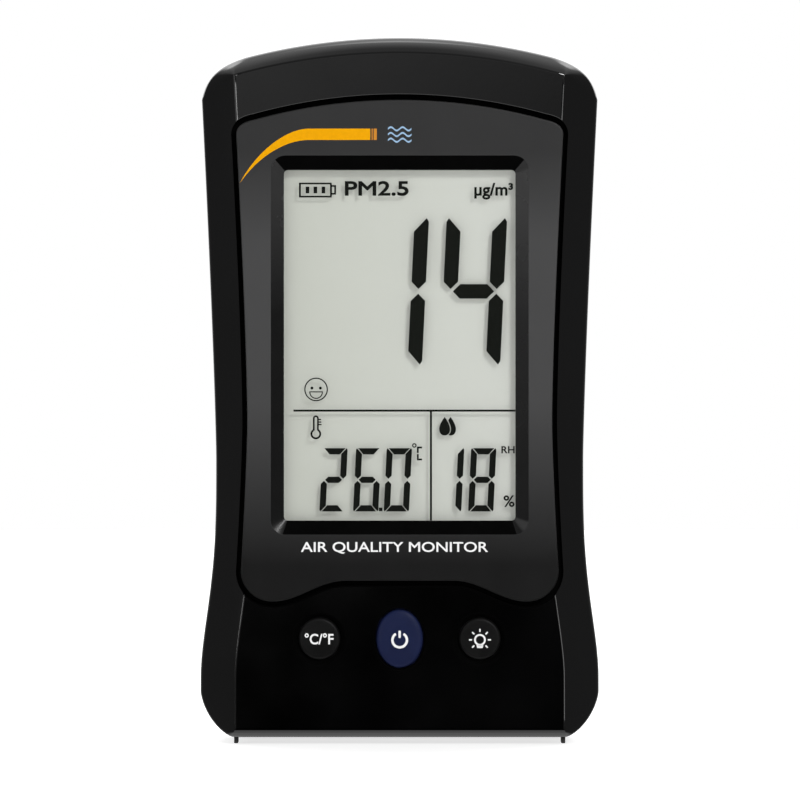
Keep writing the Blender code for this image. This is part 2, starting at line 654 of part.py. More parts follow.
def make_battery(materials):
    """A pouch cell with slanting edges, and the foam pad between it and the back."""
    front, back = BATTERY_FRONT_Y, BATTERY_BACK_Y
    cell = []
    for grow, y in ((0.0, front), (1.0, front + 0.6), (1.0, back - 0.6), (0.0, back)):
        ring = rounded_box(BATTERY_HALF + grow, BATTERY_LOW - grow, BATTERY_HIGH + grow, 2.5)
        cell.append(at_depth(ring, y))
    add_piece("battery_cell", loft(cell), materials["battery"])
    half, low, high = BATTERY_HALF - 2.5, BATTERY_LOW + 4.0, BATTERY_HIGH - 4.0
    pad = block((-half, back + GAP, low), (half, back + 1.0, high))
    add_piece("battery_pad", pad, materials["foam"])


# ------------------------------------------------------------------ particle sensor


def make_sensor(materials):
    """The particle sensor: a lidded case with its board, laser and detector, and the duct behind it."""
    wall = SENSOR_WALL
    lid_y = SENSOR_BACK_Y - wall
    outer = rounded_box(SENSOR_HALF, SENSOR_LOW, SENSOR_HIGH, 1.5)
    inner = rounded_box(SENSOR_HALF - wall, SENSOR_LOW + wall, SENSOR_HIGH - wall, 1.0)
    case = add_piece("sensor_case", prism(outer, SENSOR_FRONT_Y, lid_y - GAP), materials["sensor_blue"])
    cut(case, prism(inner, SENSOR_FRONT_Y + wall, SENSOR_BACK_Y))
    lid = add_piece("sensor_lid", prism(outer, lid_y, SENSOR_BACK_Y), materials["sensor_blue"])
    cut(lid, round_bar((FAN_X, FAN_Z), 8.0, lid_y - 1, SENSOR_BACK_Y + 1))
    cut(lid, prism(rounded_box(6.0, 107.0, 113.0, 1.0, x=-13.0), lid_y - 1, SENSOR_BACK_Y + 1))
    board = block((-22.5, SENSOR_FRONT_Y + wall + GAP, 103.5), (-1.5, SENSOR_FRONT_Y + wall + 1.3, 134.5))
    add_piece("sensor_board", board, materials["board"])
    laser = [(2.8, 0.0), (2.8, 2.0), (2.3, 2.2), (2.3, 9.0)]
    laser = across(turned((0, 0), laser, 20), LASER_Y, LASER_Z)
    bmesh.ops.translate(laser, vec=(LASER_BACK_X, 0, 0), verts=laser.verts)
    add_piece("laser_diode", laser, materials["brass"], (LASER_BACK_X, LASER_Y, LASER_Z))
    add_piece("light_detector", block((-8.5, -0.5, 122.0), (-4.5, 2.5, 125.0)), materials["black"])
    duct = rounded_box(SENSOR_HALF - 0.5, SENSOR_LOW + 0.5, SENSOR_HIGH - 0.5, 1.0)
    gasket = add_piece("air_duct_gasket", prism(duct, SENSOR_BACK_Y + GAP, DUCT_BACK_Y), materials["foam"])
    for x in (-12.0, 12.0):
        cut(gasket, prism(rounded_box(9.6, 104.0, 134.0, 1.5, x=x), SENSOR_BACK_Y - 1, DUCT_BACK_Y + 1))
    add_piece("dust_screen", prism(duct, SCREEN_FRONT_Y, SCREEN_BACK_Y), materials["mesh"])


def make_fan(materials):
    """The sensor's fan: a bladed rotor that turns on the shaft of a small motor."""
    centre = (FAN_X, FAN_Z)
    base_y = SENSOR_FRONT_Y + SENSOR_WALL + GAP
    shaft = FAN_SHAFT_RADIUS
    motor = turned(centre, [(4.0, base_y), (4.0, -1.7), (shaft, -1.7), (shaft, 3.6)], 20)
    add_piece("fan_motor", motor, materials["steel"], (FAN_X, base_y, FAN_Z))
    hub = turned(centre, [(FAN_HUB_RADIUS, -1.3), (FAN_HUB_RADIUS, 4.2), (FAN_HUB_RADIUS - 0.5, 4.7)], 24)
    fan = add_piece("fan_rotor", hub, materials["black"], (FAN_X, 0, FAN_Z))
    blade_angle = 2 * math.pi / FAN_BLADES
    root_x = FAN_X + FAN_HUB_RADIUS - 0.6
    for i in range(FAN_BLADES):
        blade = block((root_x, -1.0, FAN_Z - 0.35), (FAN_X + FAN_RADIUS, 4.0, FAN_Z + 0.35))
        swung(blade, math.radians(FAN_BLADE_LEAN), (root_x, FAN_Z))
        join(fan, swung(blade, blade_angle * i, centre))
    cut(fan, round_bar(centre, FAN_SHAFT_RADIUS + PIN_CLEARANCE, -2.0, 3.8, 16))


# ------------------------------------------------------------------ stand


def make_stand(materials):
    """A flat leg that lies in the back of the case and turns about a pin near its top."""
    axis = (0, STAND_AXIS_Y, STAND_AXIS_Z)
    outline = leg_outline(0.0, STAND_AXIS_Z)
    leg = add_piece("stand_leg", prism(outline, STAND_FRONT_Y, STAND_OUTER_Y), materials["case_back"], axis)
    barrel = round_bar((0, 0), STAND_BARREL_RADIUS, -STAND_HALF, STAND_HALF, 24)
    join(leg, across(barrel, STAND_AXIS_Y, STAND_AXIS_Z))
    cut(leg, pin_bore(STAND_HALF + 2.0))
    for i in range(GRIP_ROWS):
        low = GRIP_LOW + GRIP_PITCH * i
        groove = rounded_box(8.0, low, low + GRIP_HEIGHT, GRIP_HEIGHT / 2 - 0.01, 3)
        cut(leg, prism(groove, STAND_OUTER_Y - 0.7, STAND_OUTER_Y + 1))
    low = (-STAND_HALF + 9.0, STAND_FRONT_Y + 0.2, STAND_FOOT_Z - 2.2)
    high = (STAND_HALF - 9.0, STAND_OUTER_Y - 0.2, STAND_FOOT_Z - GAP)
    add_piece("stand_pad", block(low, high), materials["rubber"], (0, STAND_AXIS_Y, STAND_FOOT_Z))
    pin = across(round_bar((0, 0), PIN_RADIUS, -PIN_HALF, PIN_HALF, 20), STAND_AXIS_Y, STAND_AXIS_Z)
    add_piece("stand_pin", pin, materials["steel"], axis)


# ------------------------------------------------------------------ leads


def make_lead(name, route, radius, material):
    """A wire of round section along a smooth route, as a curve with filled caps."""
    curve = bpy.data.curves.new(name, "CURVE")
    curve.dimensions = "3D"
    curve.bevel_depth = radius * MM
    curve.bevel_resolution = 1
    curve.use_fill_caps = True
    points = [route[0]]
    for i in range(len(route) - 1):
        before, after = route[max(i - 1, 0)], route[min(i + 2, len(route) - 1)]
        for step in range(1, 5):
            points.append(between(before, route[i], route[i + 1], after, step / 4))
    spline = curve.splines.new("POLY")
    spline.points.add(len(points) - 1)
    for point, place in zip(spline.points, points):
        point.co = (*(value * MM for value in place), 1.0)
    curve.materials.append(material)
    lead = bpy.data.objects.new(name, curve)
    lead.parent = ORIGIN
    bpy.context.scene.collection.objects.link(lead)


def between(before, start, end, after, t):
    """A point of the smooth curve from start to end, whose slope follows the points on either side."""
    place = []
    for a, b, c, d in zip(before, start, end, after):
        rise = 2 * b + (c - a) * t + (2 * a - 5 * b + 4 * c - d) * t * t + (3 * b - a - 3 * c + d) * t**3
        place.append(rise / 2)
    return place


def make_leads(materials):
    """The cell's two leads, from its lower end to the socket on the board."""
    for name, x, socket_x, material in (
        ("battery_lead_red", -10.5, -16.6, materials["red"]),
        ("battery_lead_black", -8.0, -14.1, materials["black"]),
    ):
        route = [(x, 6.0, 27.5), (x, 6.0, 24.0), (x, 4.5, 20.0), (socket_x, 1.6, 18.0)]
        route += [(socket_x, -2.0, 18.6), (socket_x, -3.4, 20.0), (socket_x, -3.6, 21.5)]
        make_lead(name, route, LEAD_RADIUS, material)


# ------------------------------------------------------------------ assembly


def make_materials():
    table = {
        "case_front": ((0.012, 0.012, 0.013), 0.16, 0.0),
        "case_back": ((0.018, 0.018, 0.019), 0.5, 0.0),
        "panel": ((0.05, 0.05, 0.052), 0.38, 0.0),
        "clear": ((0.8, 0.85, 0.85), 0.05, 0.0),
        "lcd": ((0.55, 0.57, 0.52), 0.25, 0.0),
        "diffuser": ((0.85, 0.86, 0.84), 0.5, 0.0),
        "pale_plastic": ((0.75, 0.75, 0.73), 0.5, 0.0),
        "foam": ((0.05, 0.05, 0.05), 0.95, 0.0),
        "mesh": ((0.12, 0.12, 0.12), 0.8, 0.0),
        "button_grey": ((0.014, 0.014, 0.014), 0.42, 0.0),
        "button_blue": ((0.014, 0.02, 0.075), 0.36, 0.0),
        "black": ((0.02, 0.02, 0.02), 0.5, 0.0),
        "red": ((0.4, 0.02, 0.02), 0.45, 0.0),
        "board": ((0.02, 0.12, 0.05), 0.4, 0.0),
        "steel": ((0.55, 0.55, 0.56), 0.3, 1.0),
        "brass": ((0.6, 0.42, 0.16), 0.3, 1.0),
        "battery": ((0.32, 0.34, 0.36), 0.4, 0.6),
        "sensor_blue": ((0.05, 0.12, 0.35), 0.4, 0.0),
        "rubber": ((0.015, 0.015, 0.015), 0.85, 0.0),
    }
    return {name: make_material(name, *looks) for name, looks in table.items()}


clear_scene()
ORIGIN = make_origin()
MATERIALS = make_materials()
make_front_cover(MATERIALS["case_front"])
make_rear_cover(MATERIALS["case_back"])
make_feet(MATERIALS["rubber"])
make_case_screws(MATERIALS["steel"])
make_display_bezel(MATERIALS["panel"])
make_display(MATERIALS)
make_buttons(MATERIALS)
make_board(MATERIALS)
make_charging_port(MATERIALS)
make_battery(MATERIALS)
make_sensor(MATERIALS)
make_fan(MATERIALS)
make_stand(MATERIALS)
make_leads(MATERIALS)
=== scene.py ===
"""Looks of the hand-held air quality monitor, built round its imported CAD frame.

Lengths are millimetres until a mesh is made, and heights are above the bottom of the case. +X is the
reader's right, -Y faces the reader and +Z is up, as in the frame.
"""

import json
import math

import bmesh
import bpy
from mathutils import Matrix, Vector


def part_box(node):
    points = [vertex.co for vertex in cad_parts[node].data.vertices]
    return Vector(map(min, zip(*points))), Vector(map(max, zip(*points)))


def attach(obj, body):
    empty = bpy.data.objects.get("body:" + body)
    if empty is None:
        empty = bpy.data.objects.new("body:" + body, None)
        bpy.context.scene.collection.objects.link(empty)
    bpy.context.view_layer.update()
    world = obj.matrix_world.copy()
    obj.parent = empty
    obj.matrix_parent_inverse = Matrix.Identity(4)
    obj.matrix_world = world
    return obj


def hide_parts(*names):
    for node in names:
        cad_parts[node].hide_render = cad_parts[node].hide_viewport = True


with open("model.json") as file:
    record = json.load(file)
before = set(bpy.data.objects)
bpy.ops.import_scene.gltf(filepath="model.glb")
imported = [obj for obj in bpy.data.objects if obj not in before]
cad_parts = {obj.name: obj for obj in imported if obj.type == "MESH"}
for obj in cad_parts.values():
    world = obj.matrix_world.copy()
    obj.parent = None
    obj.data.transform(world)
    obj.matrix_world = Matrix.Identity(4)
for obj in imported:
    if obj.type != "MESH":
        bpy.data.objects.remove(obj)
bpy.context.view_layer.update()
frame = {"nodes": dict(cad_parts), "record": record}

MM = 0.001
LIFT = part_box("front_cover")[0].z / MM  # height of the case's bottom above the surface

# Places that come from the frame, in millimetres.
FACE_Y = -17.1
CROWN_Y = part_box("power_button")[0].y / MM + 0.06
PARTING_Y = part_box("front_cover")[1].y / MM
BACK_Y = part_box("rear_cover")[1].y / MM
PANEL_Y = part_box("display_bezel")[0].y / MM
PANEL_BACK_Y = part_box("display_bezel")[1].y / MM
WINDOW_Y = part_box("display_window")[0].y / MM
CASE_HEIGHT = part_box("front_cover")[1].z / MM - LIFT
HIP_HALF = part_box("front_cover")[1].x / MM

# The case's outline, as in the frame.
TOP_RADIUS = 135.0
SHOULDER_HALF, SHOULDER_Z = 43.9, 141.1
SHOULDER_CURVE = ((43.2, 144.0), (42.4, 148.3))
WAIST_HALF, WAIST_Z = 40.75, 62.0
HIP_Z = 13.0
BASE_HALF, BASE_CORNER = 36.4, 10.0
TOP_ARC_HALF = 34.0
CORNER_POWER = 1.6
UPPER_FLARE, LOWER_FLARE = 1.25, 1.7
SIDE_EDGE_Y, TOP_EDGE_Y, BASE_EDGE_Y = -12.0, -13.5, -16.0
WALL = 2.2
RIDGE_INSET, TOP_CHAMFER, BASE_CHAMFER = 7.75, 3.6, 1.75
RECESS_FLOOR_Y, FLOOR_BACK_Y = -14.6, -13.1
SOFT_EDGE, SOFT_TOP_EDGE, SOFT_RIDGE, SEAM = 0.9, 0.4, 0.42, 0.22  # roundings along edges and ridges
CROWN, TOP_CROWN = 0.05, 0.2
BACK_EDGE_Y, BACK_EDGE_INSET = 9.0, 5.4
HOLLOW_FRONT_Y, HOLLOW_BACK_Y = -10.3, 10.5  # the ends of the hollow's straight walls
SCREEN_OPENING = (27.3, 46.2, 127.1, 1.5)  # half width, bottom, top and corner radius
KEY_WELL, KEY_WELL_Y = (24.0, 6.0, 29.6, 2.0), -15.1

# The display panel's outline, window and stripe.
PANEL_WAIST_HALF, PANEL_WAIST_Z = 33.65, 70.0
PANEL_SHOULDER_HALF, PANEL_SHOULDER_Z = 36.1, 132.9
PANEL_HIP_HALF, PANEL_HIP_Z = 35.1, 36.7
PANEL_TOP_Z, PANEL_TOP_RADIUS = 140.85, 120.0
PANEL_LOBE_X, PANEL_LOBE_Z = 28.1, 30.0
PANEL_RISE_X, PANEL_RISE_Z = 12.0, 34.6
PANEL_FLARE = 1.4
PANEL_ARC_HALF = 32.0
PANEL_CORNER_CURVE = ((36.3, 135.0), (34.6, 136.0))
PANEL_GROOVE = 1.1
BEVEL_HALF, BEVEL_LOW, BEVEL_HIGH = 28.4, 44.9, 128.5
VIEW_HALF, VIEW_LOW, VIEW_HIGH = 25.6, 47.9, 125.4
STRIPE_LOW, STRIPE_HIGH = 131.95, 134.45

# Buttons.
BUTTON_Z, BUTTON_SPACING = 21.9, 17.7
SIDE_BUTTON_RADIUS = 4.6
POWER_HALF_WIDTH, POWER_HALF_HEIGHT = 5.13, 6.4
BUTTON_CLEARANCE = 0.32
FLANGE_Y, STEM_Y, STEM_BACK_Y, STEM_RADIUS = -14.8, -13.8, -11.7, 1.6

# Vent, charging port, stand, screws and feet.
VENT_X, VENT_LOW, VENT_STEP, VENT_ROWS = 12.5, 105.0, 4.2, 7
PORT_HALF, PORT_FRONT_Y, PORT_BACK_Y, PORT_FUNNEL = 4.05, -6.0, -2.8, (0.35, 0.3)
STAND_AXIS_Y, STAND_AXIS_Z = 15.6, 94.0
STAND_HALF, STAND_SHOULDER_Z, STAND_FOOT_Z = 21.0, 80.0, 20.0
STAND_MARGIN = 1.3
STAND_RECESS_LOW, STAND_RECESS_HIGH, STAND_RECESS_Y = 12.0, 98.0, 13.7
LEG_FRONT_Y, LEG_BACK_Y = 14.0, 16.6
GRIP_LOW, GRIP_STEP, GRIP_HEIGHT, GRIPS = 27.0, 3.0, 1.4, 4
PIN_RADIUS, PIN_CLEARANCE = 0.8, 0.08
STAND_HOUSING = ((-25.0, 11.4, 9.0), (25.0, 16.5, 99.8))
CASE_SCREW_X, CASE_SCREW_Z = 33.5, (13.0, 139.0)
BOSS_RADIUS, BOSS_FRONT_Y, PILOT_RADIUS, PILOT_FRONT_Y = 3.0, -13.8, 1.05, -10.8
REAR_BOSS_RADIUS, REAR_BOSS_BACK_Y, WELL_RADIUS, WELL_MOUTH = 3.3, 16.4, 1.95, 2.25
FOOT_X, FOOT_WIDTH, FOOT_LENGTH = 36.2, 0.9, 4.0
FOOT_CLEARANCE = 0.15
FOOT_ROWS = {"front": -12.5, "rear": 9.0}
FOOT_SIDES = {"left": -1, "right": 1}

PRINT = 0.025  # thickness of a printed mark
ROUND = 64  # sides of a round piece


# --- material nodes


def feed(node, **inputs):
    """Give a node's inputs their values, or link them to the outputs that feed them."""
    for name, value in inputs.items():
        socket = node.inputs[name.replace("_", " ")]
        if isinstance(value, bpy.types.NodeSocket):
            node.id_data.links.new(value, socket)
        else:
            socket.default_value = value
    return node


def map_range(value, start, end, low, high, interpolation="LINEAR"):
    """Carry a node's output from the range start to end over to the range low to high."""
    node = value.id_data.nodes.new("ShaderNodeMapRange")
    node.interpolation_type = interpolation
    feed(node, Value=value, From_Min=start, From_Max=end, To_Min=low, To_Max=high)
    return node.outputs["Result"]


def compute(operation, *values):
    """The result of a math node. A value is a number or another node's output."""
    tree = next(value.id_data for value in values if not isinstance(value, float))
    node = tree.nodes.new("ShaderNodeMath")
    node.operation = operation
    for socket, value in zip(node.inputs, values):
        if isinstance(value, float):
            socket.default_value = value
        else:
            tree.links.new(value, socket)
    return node.outputs["Value"]


def times(first, second):
    return compute("MULTIPLY", first, second)


class Shading:
    """A Principled material and the few node chains that every finish here is made of."""

    def __init__(self, name, colour, roughness, metallic=0.0):
        self.material = bpy.data.materials.new(name)
        self.material.use_nodes = True
        self.material.diffuse_color = (*colour, 1.0)
        self.shader = self.material.node_tree.nodes["Principled BSDF"]
        self.place = self.node("TexCoord").outputs["Object"]
        self.colour = colour
        self.normal = None
        self.set(Base_Color=(*colour, 1.0), Roughness=roughness, Metallic=metallic)

    def node(self, kind, **inputs):
        return feed(self.material.node_tree.nodes.new("ShaderNode" + kind), **inputs)

    def set(self, **inputs):
        feed(self.shader, **inputs)

    def noise(self, scale, detail=3.0, stretch=(1, 1, 1)):
        """Noise with features about 1/scale metres across."""
        stretched = self.node("Mapping", Scale=stretch, Vector=self.place).outputs["Vector"]
        return self.node("TexNoise", Scale=scale, Detail=detail, Vector=stretched).outputs["Fac"]

    def object_axis(self, axis):
        """The object's own X, Y or Z in metres."""
        return self.node("SeparateXYZ", Vector=self.place).outputs[axis]

    def cells(self, scale):
        return self.node("TexVoronoi", Scale=scale, Vector=self.place).outputs["Distance"]

    def range(self, value, low, high, start=0.3, end=0.7):
        """Low to high over the middle of a noise's range, or from start to end."""
        return map_range(value, start, end, low, high)

    def vary_roughness(self, low, high, scale=60.0, stretch=(1, 1, 1)):
        self.set(Roughness=self.range(self.noise(scale, 4.0, stretch), low, high))

    def vary_colour(self, other, factor):
        """Mix the base colour with another by a 0 to 1 factor."""
        mix = self.node("Mix")
        mix.data_type = "RGBA"
        feed(mix, A=(*self.colour, 1.0), B=(*other, 1.0), Factor=factor)
        self.set(Base_Color=mix.outputs["Result"])

    def bump(self, height, depth):
        """Raise the surface by depth metres where height is 1, on top of the bumps made before."""
        node = self.node("Bump", Distance=depth, Strength=1.0, Height=height)
        if self.normal:
            feed(node, Normal=self.normal)
        self.normal = node.outputs["Normal"]
        self.set(Normal=self.normal)

    def paler_outer_edges(self, other, amount):
        """A paler colour along outer edges, from the mesh's own curvature."""
        curvature = self.node("NewGeometry").outputs["Pointiness"]
        self.vary_colour(other, self.range(curvature, 0.0, amount, 0.52, 0.62))


def coat(name, colour, roughness, rough, grain, mottle=None, stretch=(1, 1, 1), metallic=0.0, **inputs):
    """A finish with uneven roughness and a fine grain, and perhaps with patches of another colour.

    `rough` is the lowest and the highest roughness and the scale of what lies between, `grain` is the
    scale, detail and depth of the bumps, and `mottle` is the other colour, its scale and its detail.
    """
    s = Shading(name, colour, roughness, metallic)
    s.set(**inputs)
    s.vary_roughness(*rough, stretch)
    if mottle:
        other, scale, detail = mottle
        s.vary_colour(other, s.range(s.noise(scale, detail, stretch), 0.0, 1.0))
    scale, detail, depth = grain
    s.bump(s.noise(scale, detail, stretch), depth)
    return s


def satin_panel():
    colour, rough, grain = (0.003, 0.003, 0.003), (0.36, 0.5, 120.0), (5200.0, 2.0, 1.2e-5)
    s = coat("panel_satin_grey", colour, 0.42, rough, grain, Specular_IOR_Level=0.15)
    # Painted shade: the panel's colour darkens towards its bottom, and a little towards its top, where less
    # light falls on it.
    height = s.object_axis("Z")
    rise, fall = s.range(height, 0.05, 1.0, 0.0395, 0.076), s.range(height, 1.0, 0.45, 0.111, 0.131)
    s.vary_colour((0.045, 0.045, 0.0455), times(rise, fall))
    return s


def bevel_black():
    colour, rough, grain = (0.002, 0.002, 0.002), (0.2, 0.3, 150.0), (3000.0, 2.0, 4e-6)
    s = coat("window_bevel_black", colour, 0.24, rough, grain, Specular_IOR_Level=0.35)
    # Painted light: the bevel turns paler towards the top, where more light falls on it.
    s.vary_colour((0.02, 0.02, 0.02), s.range(s.object_axis("Z"), 0.0, 1.0, 0.095, 0.122))
    return s


def back_black():
    s = Shading("case_back_texture", (0.013, 0.013, 0.0135), 0.5)
    s.vary_roughness(0.44, 0.58, 90.0)
    s.paler_outer_edges((0.03, 0.03, 0.031), 0.8)
    s.bump(s.range(s.cells(2100.0), 1.0, 0.0, 0.0, 0.6), 3e-5)
    s.bump(s.noise(5200.0, 2.0), 1e-5)
    return s


def button_satin(name, colour, paler):
    rough, grain, mottle = (0.4, 0.52, 300.0), (4200.0, 2.0, 1.4e-5), (paler, 220.0, 3.0)
    return coat(name, colour, 0.45, rough, grain, mottle, Specular_IOR_Level=0.1)


def lcd_face():
    """The reflector behind the liquid crystal: pale grey-green, with painted shade that makes it a little
    darker towards the left.
    """
    s = coat("lcd_reflector", (0.358, 0.373, 0.33), 0.32, (0.28, 0.36, 200.0), (6500.0, 1.0, 3e-6))
    across = s.range(s.object_axis("X"), 0.0, 1.0, -VIEW_HALF * MM, VIEW_HALF * MM)
    s.vary_colour((0.43, 0.445, 0.412), across)
    # Painted light: a faint glow that lifts the whole reflector and the shade along its edges.
    s.set(Emission_Color=(0.95, 0.97, 0.9, 1), Emission_Strength=0.15)
    return s


def ink(name, colour, roughness=0.4, specular=0.2):
    rough, grain = (roughness - 0.04, roughness + 0.06, 900.0), (6000.0, 1.0, 4e-6)
    mottle = (tuple(0.93 * value for value in colour), 1500.0, 2.0)
    return coat(name, colour, roughness, rough, grain, mottle, Specular_IOR_Level=specular)


def see_through(name, colour, alpha, roughness=0.06):
    s = Shading(name, colour, roughness)
    s.set(Alpha=alpha)
    s.vary_roughness(roughness, roughness + 0.03, 80.0)
    s.material.surface_render_method = "BLENDED"
    return s


def metal(name, colour, low, high, stretch=(1, 1, 1)):
    mottle = (tuple(0.8 * value for value in colour), 500.0, 4.0)
    return coat(name, colour, low, (low, high, 700.0), (2500.0, 3.0, 4e-6), mottle, stretch, 1.0)


def moulding(name, colour, roughness=0.5):
    mottle = (tuple(min(1.0, 1.12 * value + 0.004) for value in colour), 180.0, 3.0)
    rough = (roughness - 0.05, roughness + 0.08, 250.0)
    return coat(name, colour, roughness, rough, (3000.0, 2.0, 1e-5), mottle)


def circuit_board():
    """Green solder mask with paler copper tracks under it."""
    s = Shading("circuit_board", (0.008, 0.055, 0.022), 0.28)
    facing = s.node("Mapping", Rotation=(math.radians(90), 0, 0), Vector=s.place).outputs["Vector"]
    bricks = s.node("TexBrick", Scale=170.0, Mortar_Size=0.035, Vector=facing)
    s.vary_colour((0.03, 0.15, 0.05), bricks.outputs["Fac"])
    s.bump(bricks.outputs["Fac"], 3e-5)
    s.vary_roughness(0.22, 0.36, 150.0)
    return s


def foam():
    s = Shading("closed_cell_foam", (0.03, 0.03, 0.031), 0.95)
    s.vary_colour((0.06, 0.06, 0.062), s.range(s.cells(1500.0), 0.0, 1.0, 0.0, 0.6))
    s.bump(s.cells(1500.0), 0.00015)
    return s


def woven_screen():
    """A fine woven screen: two crossing sets of wires."""
    s = Shading("woven_screen", (0.03, 0.03, 0.032), 0.6)
    heights = []
    for direction in ("X", "Z"):
        wave = s.node("TexWave", Scale=420.0, Vector=s.place)
        wave.bands_direction = direction
        heights.append(wave.outputs["Fac"])
    wires = compute("MAXIMUM", *heights)
    s.vary_colour((0.16, 0.16, 0.165), s.range(wires, 0.0, 1.0, 0.5, 1.0))
    s.bump(wires, 1e-4)
    return s


BLACK, MATT, RUBBER, FOIL = (0.0002,) * 3, (0.0005,) * 3, (0.012,) * 3, (0.42, 0.44, 0.46)
BLACK_PATCHES = ((0.0007, 0.0007, 0.0008), 25.0, 3.0)
RUBBER_PATCHES = ((0.022, 0.021, 0.02), 600.0, 3.0)
FOIL_PATCHES = ((0.3, 0.31, 0.33), 90.0, 4.0)
SHADINGS = {
    "case_front": coat(
        "case_gloss_black", BLACK, 0.1, (0.085, 0.15, 55.0), (900.0, 2.0, 2e-6), BLACK_PATCHES, IOR=1.49
    ),
    "case_back": back_black(),
    "panel": satin_panel(),
    "bevel": bevel_black(),
    # Matt black for the seam lip, and painted shade in the panel's groove, the button dishes and the
    # window's upper and lower edges.
    "recess": coat(
        "recess_matt_black_and_painted_shade", MATT, 0.7, (0.6, 0.8, 200.0), (4000.0, 2.0, 8e-6), Specular_IOR_Level=0.03
    ),
    "window": see_through("window_acrylic", (0.01, 0.011, 0.011), 0.03),
    "lcd": lcd_face(),
    "lcd_ink": ink("lcd_segment_ink", (0.0055, 0.0065, 0.005), 0.35, 0.06),
    "diffuser": moulding("light_guide", (0.8, 0.82, 0.78), 0.35),
    "pale_plastic": moulding("pale_moulding", (0.7, 0.7, 0.67)),
    "foam": foam(),
    "screen": woven_screen(),
    "button_grey": button_satin("button_charcoal", (0.0026, 0.0026, 0.0026), (0.0044, 0.0044, 0.0044)),
    "button_blue": button_satin("button_blue", (0.0055, 0.009, 0.036), (0.0065, 0.0108, 0.043)),
    "black_plastic": moulding("black_moulding", (0.015, 0.015, 0.015)),
    "red_plastic": moulding("red_insulation", (0.35, 0.015, 0.015)),
    "board": circuit_board(),
    "steel": metal("plated_steel", (0.6, 0.6, 0.6), 0.2, 0.34, (1, 6, 1)),
    "brass": metal("laser_can_brass", (0.62, 0.42, 0.16), 0.22, 0.36),
    "battery": coat(
        "pouch_foil", FOIL, 0.35, (0.28, 0.45, 200.0), (300.0, 4.0, 1e-4), FOIL_PATCHES, metallic=0.8
    ),
    "sensor_blue": moulding("sensor_case_blue", (0.03, 0.09, 0.32), 0.4),
    "rubber": coat("soft_rubber", RUBBER, 0.8, (0.7, 0.9, 400.0), (3500.0, 3.0, 2e-5), RUBBER_PATCHES),
    "print_white": ink("printed_white", (0.74, 0.74, 0.74)),
    "print_orange": ink("printed_orange", (0.67, 0.3, 0.0004), 0.38, 0.05),
    "print_amber": ink("printed_amber", (0.48, 0.19, 0.024), 0.38, 0.05),
    "print_pale": ink("printed_pale_blue", (0.26, 0.39, 0.55), 0.4, 0.05),
}
FINISH = {slot: shading.material for slot, shading in SHADINGS.items()}


# --- shapes


def angles(first, last, steps):
    return [math.radians(first + (last - first) * i / steps) for i in range(steps + 1)]


def loft(rings):
    """A body through rings of (x, y, z) points, with a flat cap on the first and the last."""
    bm = bmesh.new()
    loops = [[bm.verts.new(point) for point in ring] for ring in rings]
    for first, second in zip(loops, loops[1:]):
        for i, vert in enumerate(first):
            j = (i + 1) % len(first)
            bm.faces.new((vert, first[j], second[j], second[i]))
    for loop in (loops[0], loops[-1]):
        bm.faces.new(loop)
    bmesh.ops.remove_doubles(bm, verts=bm.verts, dist=1e-4)
    return bm


def at_depth(outline, y):
    return [(x, y, z) for x, z in outline]


def prism(outline, y_front, y_back, edge=0.0):
    """An outline in the XZ plane with a depth; edge rounds its front and back edges by that radius."""
    if not edge:
        return loft([at_depth(outline, y_front), at_depth(outline, y_back)])
    rings = rounded_front(outline, edge, y_front, 3)
    for a in angles(0, 90, 3):
        rings.append(at_depth(grown(outline, edge * (math.cos(a) - 1)), y_back - edge * (1 - math.sin(a))))
    return loft(rings)


def rounded_front(outline, edge, y, steps):
    """Rings of an outline that swells to its full size over a front edge rounded by the radius `edge`."""
    turns = angles(0, 90, steps)
    return [at_depth(grown(outline, edge * (math.sin(a) - 1)), y + edge * (1 - math.cos(a))) for a in turns]


def rectangle(x0, z0, x1, z1):
    return [(x0, z0), (x1, z0), (x1, z1), (x0, z1)]


def block(low, high):
    (x0, y0, z0), (x1, y1, z1) = low, high
    return prism(rectangle(x0, z0, x1, z1), y0, y1)


def oval(centre, half_width, half_height, sides=ROUND):
    x, z = centre
    turns = [2 * math.pi * i / sides for i in range(sides)]
    return [(x + half_width * math.cos(a), z + half_height * math.sin(a)) for a in turns]


def turned(centre, profile, sides=ROUND):
    """A body turned about a line along Y through `centre`, from a list of (radius, y)."""
    return loft([at_depth(oval(centre, radius, radius, sides), y) for radius, y in profile])


def round_bar(centre, radius, y_front, y_back, sides=ROUND):
    return turned(centre, [(radius, y_front), (radius, y_back)], sides)


def rounded_box(half_width, low, high, radius, steps=8, x=0.0):
    """A rectangle in the XZ plane from height `low` to `high`, with round corners."""
    points = []
    for side, z, start in ((1, high, 0), (-1, high, 90), (-1, low, 180), (1, low, 270)):
        centre_x = x + side * (half_width - radius)
        centre_z = z - radius if z == high else z + radius
        for a in angles(start, start + 90, steps):
            points.append((centre_x + radius * math.cos(a), centre_z + radius * math.sin(a)))
    return points


def rounded_polygon(corners, radius, steps=5):
    """A polygon whose corners are rounded, each by a curve that starts `radius` before it."""
    points = []
    for i, corner in enumerate(corners):
        corner = Vector(corner)
        before, after = Vector(corners[i - 1]), Vector(corners[(i + 1) % len(corners)])
        start = corner + (before - corner).normalized() * radius
        end = corner + (after - corner).normalized() * radius
        points += [tuple(point) for point in curve_between(start, corner, end, steps)]
    return points


def curve_between(start, control, end, steps):
    """Points of a quadratic curve: the rounding of a corner at `control`."""
    places = [i / steps for i in range(steps + 1)]
    return [(1 - t) ** 2 * start + 2 * t * (1 - t) * control + t * t * end for t in places]


